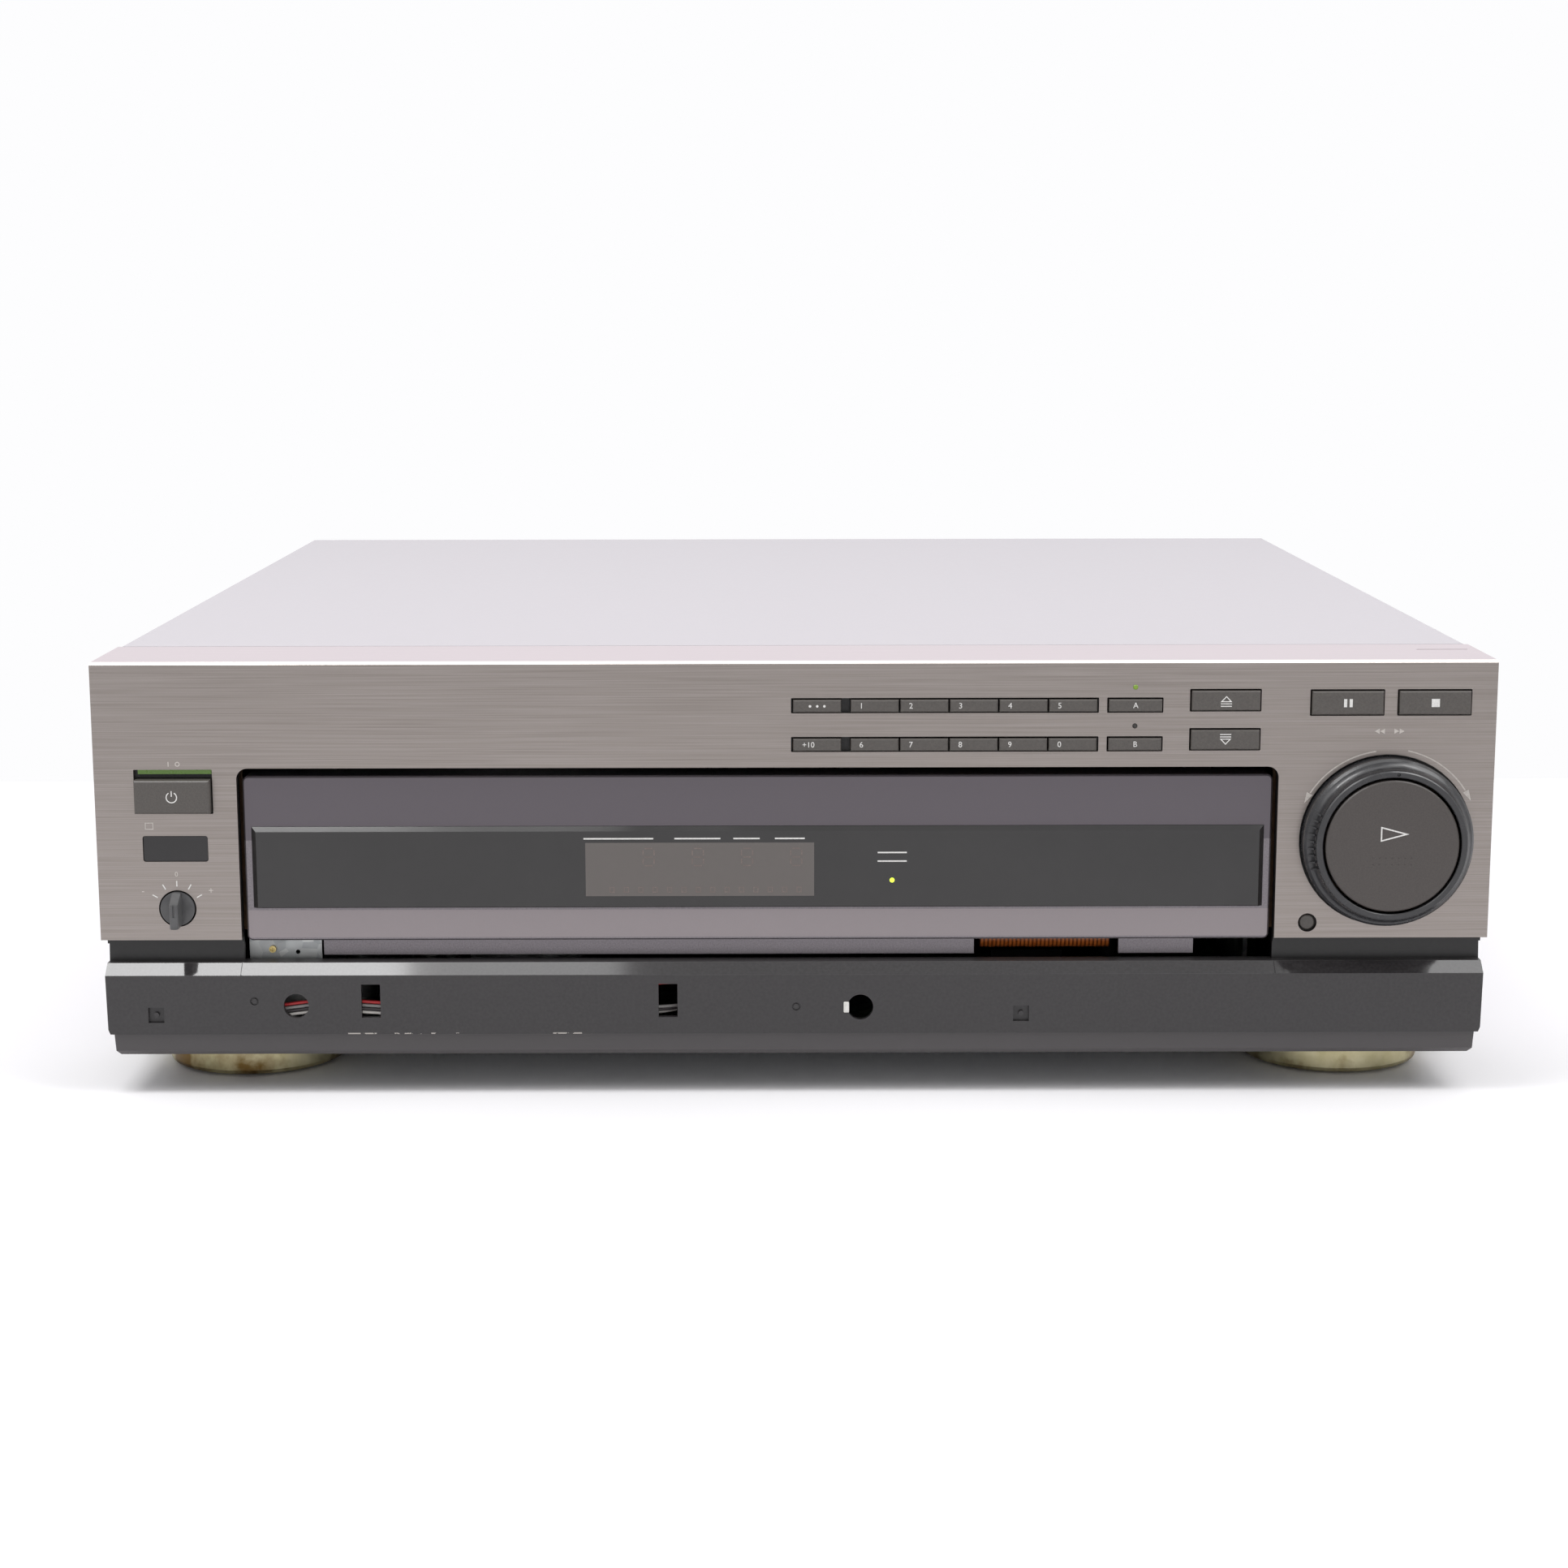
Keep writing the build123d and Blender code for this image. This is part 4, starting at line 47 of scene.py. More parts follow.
def linear(text):
    """A hex colour as the linear values that a shader takes."""
    channels = [int(text[k : k + 2], 16) / 255 for k in (1, 3, 5)]
    return [c / 12.92 if c <= 0.04045 else ((c + 0.055) / 1.055) ** 2.4 for c in channels] + [1.0]


def add(tree, kind, settings=None, links=None, into=None):
    """Adds a node with its inputs, properties, ramp stops and links, and feeds it into a socket."""
    made = tree.nodes.new(kind)
    for key, value in (settings or {}).items():
        if key == "stops":
            steps = made.color_ramp.elements
            steps.remove(steps[-1])
            steps[0].position = value[0][0]
            for position, _ in value[1:]:
                steps.new(position)
            for step, (_, tone) in zip(steps, value):
                step.color = linear(tone) if isinstance(tone, str) else (tone, tone, tone, 1.0)
        elif isinstance(key, int) or key in made.inputs:
            made.inputs[key].default_value = value
        else:
            setattr(made, key, value)
    for key, source in (links or {}).items():
        tree.links.new(source, made.inputs[key])
    if into:
        tree.links.new(made.outputs[into[2] if len(into) > 2 else 0], into[0].inputs[into[1]])
    return made


def finish(name, dark, pale, grain_mm, metallic, gloss, relief_mm=0.0, stretch=(1, 1, 1), detail=3.0):
    """A material whose tone, roughness and relief vary with a grain of a real size."""
    made = bpy.data.materials.new(name)
    made.use_nodes = True
    tree = made.node_tree
    shader = tree.nodes["Principled BSDF"]
    shader.inputs["Metallic"].default_value = metallic
    place_of = add(tree, "ShaderNodeTexCoord")
    per_metre = [s / (grain_mm * MM) for s in stretch]
    sized = add(tree, "ShaderNodeMapping", {"Scale": per_metre}, {"Vector": place_of.outputs["Object"]})
    grain = add(tree, "ShaderNodeTexNoise", {"Scale": 1.0, "Detail": detail}, {"Vector": sized.outputs[0]})
    noise = {"Fac": grain.outputs["Fac"]}
    tones = {"stops": ((0.32, dark), (0.68, pale))}
    shine = {"stops": ((0.3, gloss[0]), (0.7, gloss[1]))}
    add(tree, "ShaderNodeValToRGB", tones, noise, (shader, "Base Color"))
    add(tree, "ShaderNodeValToRGB", shine, noise, (shader, "Roughness"))
    if relief_mm:
        deep = {"Strength": RELIEF, "Distance": relief_mm * MM}
        add(tree, "ShaderNodeBump", deep, {"Height": grain.outputs["Fac"]}, (shader, "Normal"))
    return made, tree, shader


def overlay(tree, shader, mask, colour, socket="Base Color"):
    """Lays another colour where the mask is 1, over a shader's own, or over black where it has none."""
    link = shader.inputs[socket].links
    under = {6: link[0].from_socket} if link else {}
    tones = {"data_type": "RGBA", 6: (0, 0, 0, 1), 7: colour}
    add(tree, "ShaderNodeMix", tones, {"Factor": mask, **under}, (shader, socket, 2))


def dress(material, *names):
    """Gives CAD nodes their material."""
    for name in names:
        for cad_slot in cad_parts[name].material_slots:
            cad_slot.material = material


plated, tree, shader = finish("brass_tinted_plating", "#A9A079", "#C9C2A0", 9, 1.0, (0.28, 0.4), detail=4.0)
place_of = add(tree, "ShaderNodeTexCoord")
damp = add(tree, "ShaderNodeTexNoise", {"Scale": 45.0, "Detail": 7.0}, {"Vector": place_of.outputs["Object"]})
spotted = add(tree, "ShaderNodeValToRGB", {"stops": ((0.38, 1.0), (0.5, 0.0))}, {"Fac": damp.outputs["Fac"]})
overlay(tree, shader, spotted.outputs[0], linear("#6B5530"))
dress(plated, "feet")

rubber, tree, shader = finish("moulded_rubber", "#1F1E1D", "#32302E", 1.2, 0.0, (0.75, 0.9), 0.05)
dress(rubber, "foot_pads")

# ---- Steel chassis ----
# Galvanised sheet: the pan, the back, the loader's folded frame, the deck, the sliding cam and the bracket.
# Zinc crystals a few millimetres across give it a mottled, dull shine.
zinc, tree, shader = finish("galvanised_steel", "#8F9293", "#BDBEBC", 6, 1.0, (0.34, 0.52), detail=1.0)
place_of = add(tree, "ShaderNodeTexCoord")
crystals = add(tree, "ShaderNodeTexVoronoi", {"Scale": 240.0}, {"Vector": place_of.outputs["Object"]})
add(
    tree,
    "ShaderNodeValToRGB",
    {"stops": ((0.0, "#8D9091"), (0.5, "#A6A8A8"), (1.0, "#BBBCBA"))},
    {"Fac": crystals.outputs["Color"]},
    (shader, "Base Color"),
)
dress(zinc, "chassis_pan", "back_panel", "loader_frame", "mech_deck", "lift_cam", "tray_bracket")

passivated, tree, shader = finish("yellow_passivated_steel", "#8C7B48", "#CDBB84", 0.9, 1.0, (0.25, 0.4))
dress(passivated, "screws")

# ---- Sockets in the back ----
# Eight round sockets, plated, in a black moulded block, and a two-pin mains inlet beside them.
# Each round socket has a coloured plastic ring in its mouth.
back_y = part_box("back_panel")[1][1]
sockets, tree, shader = finish("plated_socket_and_block", "#141414", "#1C1C1C", 0.8, 0.0, (0.35, 0.5), 0.03)


def inside(tree, low, high):
    """A mask that is 1 between two corners given in metres, and 0 elsewhere."""
    middle = [(a + b) / 2 for a, b in zip(low, high)]
    half = [(b - a) / 2 for a, b in zip(low, high)]
    place_of = add(tree, "ShaderNodeTexCoord")
    centred = {"Scale": [1 / h for h in half], "Location": [-m / h for m, h in zip(middle, half)]}
    local = add(tree, "ShaderNodeMapping", centred, {"Vector": place_of.outputs["Object"]})
    size = add(tree, "ShaderNodeVectorMath", {"operation": "ABSOLUTE"}, {0: local.outputs[0]})
    axes = add(tree, "ShaderNodeSeparateXYZ", {}, {0: size.outputs[0]})
    wide = add(tree, "ShaderNodeMath", {"operation": "MAXIMUM"}, {0: axes.outputs[0], 1: axes.outputs[1]})
    far = add(tree, "ShaderNodeMath", {"operation": "MAXIMUM"}, {0: wide.outputs[0], 1: axes.outputs[2]})
    return add(tree, "ShaderNodeMath", {"operation": "LESS_THAN", 1: 1.0}, {0: far.outputs[0]}).outputs[0]


low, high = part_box("rear_jacks")
proud = inside(tree, (low[0], back_y + 0.2 * MM, low[2]), (high[0], high[1] + MM, high[2]))
overlay(tree, shader, proud, linear("#D6D2C8"))
tree.links.new(proud, shader.inputs["Metallic"])
dress(sockets, "rear_jacks")

polyamide, tree, shader = finish("moulded_polyamide", "#181818", "#212121", 0.7, 0.0, (0.4, 0.55), 0.03)
dress(polyamide, "mains_inlet")


def keep(name, form, material, body):
    """Turns a bmesh into a piece that rides on a body."""
    bmesh.ops.remove_doubles(form, verts=form.verts, dist=1e-7)
    bmesh.ops.recalc_face_normals(form, faces=form.faces)
    mesh = bpy.data.meshes.new(name)
    form.to_mesh(mesh)
    form.free()
    mesh.materials.append(material)
    piece = bpy.data.objects.new(name, mesh)
    bpy.context.scene.collection.objects.link(piece)
    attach(piece, body)


def turned(form, centre, axis, profile, steps):
    """Spins a closed profile of (radius, height) in millimetres once round an axis through centre."""
    axis = Vector(axis).normalized()
    across = axis.orthogonal().normalized()
    corners = [form.verts.new(centre + across * r * MM + axis * h * MM) for r, h in profile]
    face = form.faces.new(corners)
    ring = [face] + list(face.edges) + corners
    bmesh.ops.spin(form, geom=ring, cent=centre, axis=axis, angle=2 * math.pi, steps=steps, use_merge=True)
    if face.is_valid:
        form.faces.remove(face)


jack_columns = 4
jack_pitch = (high[0] - low[0]) / MM / jack_columns
jack_middle = (high[2] + low[2]) / 2 / MM
jack_rows = (jack_middle - 7.0, jack_middle + 7.0)
for n, (tone, colour_name) in enumerate(
    (("#E9E4D6", "white"), ("#A42A22", "red"), ("#D2A72C", "yellow"), ("#1C1C1E", "black"))
):
    washer, tree, shader = finish(f"{colour_name}_socket_ring", tone, tone, 0.6, 0.0, (0.3, 0.42), 0.02)
    rings = bmesh.new()
    for z in jack_rows:
        centre = Vector((low[0] + (n + 0.5) * jack_pitch * MM, back_y, z * MM))
        turned(rings, centre, (0, 1, 0), ((1.9, 0.9), (3.1, 0.9), (3.1, 7.6), (1.9, 7.6)), 32)
    keep(f"socket_rings_{colour_name}", rings, washer, "cabinet")

# ---- Boards, transformer and motors ----
# Glass-fibre boards with a green mask; the parts on them are black and dark blue moulded plastic.
# The transformer is varnished laminations round a wound bobbin, and the motors are plated steel cans.
board_low, board_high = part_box("main_board")
mask_green, tree, shader = finish("green_masked_board", "#34532B", "#4A7040", 2.5, 0.0, (0.3, 0.45))
parts_from = board_low[2] + 9.7 * MM
above = inside(tree, (-1.0, -1.0, parts_from), (1.0, 1.0, board_high[2] + 0.1))
overlay(tree, shader, above, linear("#1C1E22"))
dress(mask_green, "main_board", "power_board")

switch_low, switch_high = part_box("control_boards")
paper_board, tree, shader = finish("brown_paper_board", "#62472A", "#745635", 3.0, 0.0, (0.4, 0.5))
board_front = switch_high[1] - 1.7 * MM
in_front = inside(tree, (-1.0, switch_low[1] - 0.01, -1.0), (1.0, board_front, 1.0))
overlay(tree, shader, in_front, linear("#1A1A1C"))
dress(paper_board, "control_boards")

laminated, tree, shader = finish(
    "varnished_laminations", "#262220", "#5A524B", 1.0, 0.6, (0.4, 0.55), 0.1, (0.02, 0.02, 1)
)
dress(laminated, "transformer")

nickel, tree, shader = finish(
    "nickel_plated_can", "#9E9D98", "#C4C3BE", 1.0, 1.0, (0.25, 0.36), 0, (0.1, 0.1, 1)
)
dress(nickel, "spindle_motor", "loading_motor", "pickup_sled")

ground, tree, shader = finish(
    "ground_steel_rail", "#B9B9B7", "#D2D2D0", 1.0, 1.0, (0.12, 0.24), 0, (1, 0.1, 1)
)
dress(ground, "pickup_track")

acetal, tree, shader = finish("natural_acetal", "#CFCAB9", "#E0DCCE", 2.0, 0.0, (0.3, 0.42))
dress(acetal, "loading_gear", "motor_pinion", "sled_pinion")

# ---- Leads ----
# Four vinyl leads, red, grey, dark and white from the top down, behind the plinth's holes.
# They rise and sag together, so the height less the sag at that place tells which lead a point is on.
panel_low, panel_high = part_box("front_panel")
panel_face = panel_low[1]
vinyl, tree, shader = finish("vinyl_sheath", "#AC2529", "#BC2C30", 1.5, 0.0, (0.35, 0.5))
place_of = add(tree, "ShaderNodeTexCoord")
axes = add(tree, "ShaderNodeSeparateXYZ", {}, {0: place_of.outputs["Object"]})
reach = {"From Min": -170 * MM, "From Max": -40 * MM}
along = add(tree, "ShaderNodeMapRange", reach, {"Value": axes.outputs[0]})
rise = {"stops": ((0.03, 0.15), (0.19, 0.9), (0.37, 0.45), (0.58, 0.55), (0.81, 0.5))}
sag = add(tree, "ShaderNodeValToRGB", rise, {"Fac": along.outputs[0]})
swing_mm = 4.0
less_sag = {"operation": "MULTIPLY_ADD", 1: -swing_mm * MM}
level = add(tree, "ShaderNodeMath", less_sag, {0: sag.outputs[0], 2: axes.outputs[2]})
for top_mm, tone in ((25.6, "#8F8D8B"), (24.45, "#3B3638"), (23.35, "#E6E2DC")):
    below = add(tree, "ShaderNodeMath", {"operation": "LESS_THAN", 1: top_mm * MM}, {0: level.outputs[0]})
    overlay(tree, shader, below.outputs[0], linear(tone))
dress(vinyl, "wire_harness")

# ---- Tray, turntable and clamp ----
# Charcoal ABS, moulded with a fine spark grain; it shows when the door runs out.
charcoal, tree, shader = finish("charcoal_abs", "#262526", "#302F30", 0.8, 0.0, (0.45, 0.6), 0.06)
dress(charcoal, "tray", "turntable", "clamper")

# ---- Tray door ----
# An ABS moulding sprayed with a fine metallic lacquer, a warm grey with a touch of violet.
# The lip under it is the same. The rail over the window strip is painted darker as shade, and the one under
# it painted paler as the table's reflection.
lacquer, tree, shader = finish("metallic_lacquer", "#6F6A6E", "#837E82", 0.45, 0.7, (0.34, 0.46), 0.02)
# Painted shade darkens the rail over the window strip; a painted reflection of the table lightens the rail
# under it.
top_rail_painted_shade = inside(tree, (-1.0, -1.0, 79.5 * MM), (1.0, 1.0, 1.0))
low_rail_painted_reflection = inside(tree, (-1.0, -1.0, 48.8 * MM), (1.0, 1.0, 57.5 * MM))
overlay(tree, shader, top_rail_painted_shade, linear("#5F5A5F"))
overlay(tree, shader, low_rail_painted_reflection, linear("#8B8486"))
dress(lacquer, "tray_front", "tray_lip")

# ---- Flat cable ----
# Orange polyimide film with copper tracks along its length, in the notch of the lip.
film, tree, shader = finish("polyimide_film", "#B25D27", "#C66D30", 4.0, 0.0, (0.25, 0.35))
track_pitch = 1.27 * MM
place_of = add(tree, "ShaderNodeTexCoord")
rows = {"Scale": 2 * math.pi / track_pitch / 20, "bands_direction": "X"}
tracks = add(tree, "ShaderNodeTexWave", rows, {"Vector": place_of.outputs["Object"]})
between = add(tree, "ShaderNodeMath", {"operation": "LESS_THAN", 1: 0.4}, {0: tracks.outputs["Fac"]})
overlay(tree, shader, between.outputs[0], linear("#6B3510"))
dress(film, "display_ribbon")

# ---- Window strip ----
# Smoked acrylic with a black print on its back, left clear over the display, where the grey tube shows.
# Small bars and the unlit segments of the display's figures stand on it.
strip_face = (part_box("window_strip")[0][1] - panel_face) / MM
clear_x, clear_z = (-64.5, 6.1), (62.0, 78.8)
acrylic, tree, shader = finish("smoked_acrylic", "#272626", "#2C2B2B", 30.0, 0.0, (0.07, 0.16), detail=5.0)
shader.inputs["IOR"].default_value = 1.49
clear = inside(tree, (clear_x[0] * MM, -1.0, clear_z[0] * MM), (clear_x[1] * MM, 1.0, clear_z[1] * MM))
overlay(tree, shader, clear, linear("#5E5956"))
dress(acrylic, "window_strip")

tube_glass, tree, shader = finish("display_tube_glass", "#454240", "#524E4B", 2.5, 0.0, (0.15, 0.25))
dress(tube_glass, "display_tube")

ink_mm = 0.03


def place(x, z, y=0.0):
    """A point of the front, in millimetres across, up from the ground, and behind the panel's face."""
    return Vector((x * MM, panel_face + y * MM, z * MM))


def flat(form, sides, width, height, x, z, y, turn=0.0, line=0.0):
    """A flat shape facing the front: 4 sides for a bar, 3 for a triangle, more for a disc, or its outline."""
    radius = {3: 2 / 3, 4: math.sqrt(0.5)}.get(sides, 0.5)
    made = bmesh.ops.create_circle(form, cap_ends=True, segments=sides, radius=radius)["verts"]
    if sides == 4:
        bmesh.ops.rotate(form, verts=made, cent=(0, 0, 0), matrix=Matrix.Rotation(math.pi / 4, 3, "Z"))
    if sides == 3:
        bmesh.ops.translate(form, verts=made, vec=(0, -1 / 6, 0))
        bmesh.ops.scale(form, verts=made, vec=(math.sqrt(3) / 2, 1, 1))
    bmesh.ops.scale(form, verts=made, vec=(width * MM, height * MM, 1))
    if line:
        face = made[0].link_faces[0]
        inset = {"faces": [face], "thickness": line * MM, "use_even_offset": True}
        rim = bmesh.ops.inset_individual(form, **inset)["faces"]
        inner = [f for f in {f for r in rim for v in r.verts for f in v.link_faces} if f not in rim]
        made = list({v for r in rim for v in r.verts})
        bmesh.ops.delete(form, geom=inner, context="FACES_ONLY")
    bmesh.ops.rotate(form, verts=made, cent=(0, 0, 0), matrix=Matrix.Rotation(turn, 3, "Z"))
    bmesh.ops.rotate(form, verts=made, cent=(0, 0, 0), matrix=Matrix.Rotation(math.pi / 2, 3, "X"))
    bmesh.ops.translate(form, verts=made, vec=place(x, z, y - ink_mm))


def print_on(name, form, ink, body):
    """Gives flat shapes the thickness of a screen print and keeps them."""
    bmesh.ops.solidify(form, geom=form.faces[:], thickness=ink_mm * MM * 0.9)
    keep(name, form, ink, body)


white_ink, tree, shader = finish("white_screen_print", "#CFCECB", "#E2E1DE", 0.6, 0.0, (0.5, 0.6))
pale_ink, tree, shader = finish("pale_screen_print", "#B4AEA8", "#CBC5BF", 0.6, 0.0, (0.5, 0.6))

captions = bmesh.new()
for x0, x1 in ((-65.0, -43.5), (-37.0, -22.8), (-18.8, -10.7), (-6.0, 3.2)):
    flat(captions, 4, x1 - x0, 0.45, (x0 + x1) / 2, 80.1, strip_face)
for z in (75.6, 72.9):
    flat(captions, 4, 9.0, 0.45, 30.2, z, strip_face)
print_on("display_captions", captions, white_ink, "tray_body")

unlit, tree, shader = finish("unlit_segments", "#675B57", "#6E625D", 0.8, 0.0, (0.2, 0.3))
segments = bmesh.new()
digit_w, digit_h, stroke = 3.4, 5.4, 0.4
for n in range(4):
    middle, base = 0.6 - 15.2 * n, 71.6
    for row in range(3):
        flat(segments, 4, digit_w - 1.0, stroke, middle, base + row * digit_h / 2, strip_face)
    for row in range(2):
        for side in (-0.5, 0.5):
            z = base + (row + 0.5) * digit_h / 2
            flat(segments, 4, stroke, digit_h / 2 - 1.0, middle + side * digit_w, z, strip_face)
for n in range(14):
    flat(segments, 4, 1.6, 1.8, -56.4 + n * 4.45, 64.0, strip_face, line=0.3)
print_on("display_segments", segments, unlit, "tray_body")

lit_green, tree, shader = finish("lit_green_lens", "#B4CC38", "#C4DA4A", 0.5, 0.0, (0.25, 0.35))
shader.inputs["Emission Color"].default_value = linear("#C6E23A")
shader.inputs["Emission Strength"].default_value = 1.2
lens = bmesh.new()
turned(lens, place(30.2, 66.9, strip_face), (0, -1, 0), ((0, -0.2), (0.8, -0.2), (0.75, 0.12), (0, 0.25)), 24)
keep("sound_lamp", lens, lit_green, "tray_body")

# ---- Front frame ----
# Black ABS behind the aluminium: its edge is the dark line round each key and round the door.
# The sensor's window and the lamps' light guides are pushed into it from behind.
black_abs, tree, shader = finish("black_abs", "#111011", "#171617", 0.7, 0.0, (0.4, 0.52), 0.05)
dress(black_abs, "front_frame")

tinted, tree, shader = finish("tinted_acrylic", "#1A1819", "#1F1D1E", 12.0, 0.0, (0.1, 0.22))
dress(tinted, "ir_window")

guide, tree, shader = finish("unlit_light_guide", "#2A2826", "#34312E", 1.0, 0.0, (0.25, 0.35))
lamp_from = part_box("indicator_lights")[1][2] - 4 * MM
bar_lit = inside(tree, (-1.0, -1.0, -1.0), (0.0, 1.0, 1.0))
lamp_lit = inside(tree, (0.0, -1.0, lamp_from), (1.0, 1.0, 1.0))
for mask, tone in ((bar_lit, "#56762F"), (lamp_lit, "#6E8A2E")):
    overlay(tree, shader, mask, linear(tone))
    overlay(tree, shader, mask, linear(tone), "Emission Color")
shader.inputs["Emission Strength"].default_value = 0.25
dress(guide, "indicator_lights")

# ---- Front panel ----
# Brushed aluminium, anodised a warm grey. The brush marks run left to right, too fine to see one by one,
# so they are drawn about 0.3 mm apart. The top is painted paler as its reflection of the white room, and the
# edge between them painted near white as a highlight.
anodised, tree, shader = finish(
    "anodised_aluminium", "#88817C", "#99928E", 0.3, 1.0, (0.3, 0.42), 0.012, (0.006, 1, 1), 3.0
)
panel_top = panel_high[2]
# The top face is painted pale as a reflection of the white room, and the top front edge painted near white as
# a highlight.
top_painted_reflection = inside(tree, (-1.0, -1.0, panel_top - 0.4 * MM), (1.0, 1.0, 1.0))
overlay(tree, shader, top_painted_reflection, linear("#CFC3C8"))
edge_painted_highlight = inside(tree, (-1.0, -1.0, panel_top - 2.5 * MM), (1.0, panel_face + 2.6 * MM, 1.0))
corner_only = inside(tree, (-1.0, panel_face + 0.15 * MM, -1.0), (1.0, 1.0, 1.0))
edge = add(tree, "ShaderNodeMath", {"operation": "MULTIPLY"}, {0: edge_painted_highlight, 1: corner_only})
overlay(tree, shader, edge.outputs[0], linear("#F6F1EC"))
dress(anodised, "front_panel")

# ---- Print on the panel ----
# Pale ink: a bar and a ring over the power light, ticks round the knob with minus, nought and plus,
# and the arrows round the dial that show which way it searches.


def lettering(name, words, height, x, z, y, body, ink):
    """Printed figures or letters of a cap height in millimetres, made a thin mesh on a face."""
    curve = bpy.data.curves.new(name, "FONT")
    curve.body = words
    curve.size = height / 0.7 * MM
    curve.extrude = ink_mm / 2 * MM
    curve.align_x = "CENTER"
    curve.align_y = "CENTER"
    curve.resolution_u = 3
    source = bpy.data.objects.new(name + "_curve", curve)
    bpy.context.scene.collection.objects.link(source)
    mesh = bpy.data.meshes.new_from_object(source.evaluated_get(bpy.context.evaluated_depsgraph_get()))
    bpy.data.objects.remove(source)
    form = bmesh.new()
    form.from_mesh(mesh)
    bpy.data.meshes.remove(mesh)
    bmesh.ops.rotate(form, verts=form.verts, cent=(0, 0, 0), matrix=Matrix.Rotation(math.pi / 2, 3, "X"))
    bmesh.ops.translate(form, verts=form.verts, vec=place(x, z, y - ink_mm / 2))
    keep(name, form, ink, body)


def arc(form, centre_x, centre_z, radius, line, start, end, y=0.0):
    """A flat arc facing the front; degrees, counter-clockwise as seen from the front."""
    steps = max(2, round((end - start) / 3))
    centre = place(centre_x, centre_z, y - ink_mm)
    first = Vector((math.cos(math.radians(start)), 0, math.sin(math.radians(start))))
    ends = [form.verts.new(centre + first * (radius + side * line) * MM) for side in (-0.5, 0.5)]
    stroke_edge = form.edges.new(ends)
    bmesh.ops.spin(
        form,
        geom=[stroke_edge] + ends,
        cent=centre,
        axis=(0, -1, 0),
        angle=math.radians(end - start),
        steps=steps,
        use_merge=False,
    )


panel_print = bmesh.new()
flat(panel_print, 4, 0.3, 1.5, -192.0, 103.7, 0)
flat(panel_print, 24, 1.5, 1.5, -189.2, 103.7, 0, line=0.28)
flat(panel_print, 4, 2.6, 2.2, -198.6, 84.4, 0, line=0.28)
print_on("switch_and_sensor_marks", panel_print, pale_ink, "cabinet")

knob_low, knob_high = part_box("picture_knob")
knob_x, knob_z = ((knob_low[k] + knob_high[k]) / 2 / MM for k in (0, 2))
ticks = bmesh.new()
for angle in (-60, -30, 0, 30, 60):
    away = math.radians(angle)
    flat(ticks, 4, 0.35, 1.8, knob_x + 7.9 * math.sin(away), knob_z + 7.9 * math.cos(away), 0, -away)
print_on("knob_ticks", ticks, white_ink, "cabinet")
lettering("knob_minus", "-", 2.0, knob_x - 10.5, knob_z + 5.6, 0, "cabinet", pale_ink)
lettering("knob_nought", "0", 1.5, knob_x, knob_z + 10.8, 0, "cabinet", pale_ink)
lettering("knob_plus", "+", 2.0, knob_x + 10.5, knob_z + 5.6, 0, "cabinet", pale_ink)

ring_low, ring_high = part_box("shuttle_ring")
dial_x, dial_z = ((ring_low[k] + ring_high[k]) / 2 / MM for k in (0, 2))
search = bmesh.new()
for radius, start, end, tip in ((28.0, 98, 148, 152), (28.5, 33, 78, 29)):
    arc(search, dial_x, dial_z, radius, 0.4, start, end)
    heading = math.radians(tip)
    turn = heading if tip > 90 else heading + math.pi
    tip_x, tip_z = dial_x + radius * math.cos(heading), dial_z + radius * math.sin(heading)
    flat(search, 3, 2.0, 3.4, tip_x, tip_z, 0, turn)
for side in (-1, 1):
    for n in range(2):
        flat(search, 3, 1.6, 1.5, dial_x + side * (2.2 + 1.6 * n), 113.2, 0, -side * math.pi / 2)
print_on("search_arrows", search, pale_ink, "cabinet")

# ---- Keys ----
# Warm dark grey ABS caps, satin, with rounded edges that the light picks out.
# The number keys carry their numbers; the others carry the usual signs for what they do.
key_abs, tree, shader = finish("warm_grey_abs", "#494542", "#534F4B", 0.5, 0.0, (0.38, 0.5), 0.02)
numbers = [f"key_{n}" for n in range(10)]
dress(key_abs, *numbers, "key_program", "key_plus_ten", "side_a_button", "side_b_button")
dress(key_abs, "open_button", "close_button", "pause_button", "stop_button", "power_button", "display_button")


def cap(name):
    """A cap's left end, middle across, middle up and face, in millimetres."""
    low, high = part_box(name)
    return low[0] / MM, (low[0] + high[0]) / 2 / MM, (low[2] + high[2]) / 2 / MM, (low[1] - panel_face) / MM


for n, name in enumerate(numbers):
    left, middle, z, y = cap(name)
    lettering(f"number_{n}", str(n), 1.75, left + 3.2, z, y, f"{name}_body", white_ink)
left, middle, z, y = cap("key_plus_ten")
lettering("number_plus_ten", "+10", 1.7, left + 4.6, z, y, "key_plus_ten_body", white_ink)
left, middle, z, y = cap("key_program")
order = bmesh.new()
for n in range(3):
    flat(order, 16, 0.8, 0.8, middle - 2.2 + 2.2 * n, z, y)
print_on("program_mark", order, white_ink, "key_program_body")
for side in ("a", "b"):
    left, middle, z, y = cap(f"side_{side}_button")
    lettering(f"letter_{side}", side.upper(), 1.7, middle, z, y, f"side_{side}_button_body", white_ink)
for name, up in (("open_button", 1), ("close_button", -1)):
    left, middle, z, y = cap(name)
    lift = bmesh.new()
    flat(lift, 3, 3.6, 1.9, middle, z + 0.55 * up, y, 0 if up > 0 else math.pi, 0.28)
    for n in range(2):
        flat(lift, 4, 3.4, 0.28, middle, z - up * (0.95 + 0.75 * n), y)
    print_on(f"{name}_mark", lift, white_ink, f"{name}_body")
left, middle, z, y = cap("pause_button")
pause = bmesh.new()
for side in (-1, 1):
    flat(pause, 4, 0.95, 2.5, middle + side * 0.85, z, y)
print_on("pause_mark", pause, white_ink, "pause_button_body")
left, middle, z, y = cap("stop_button")
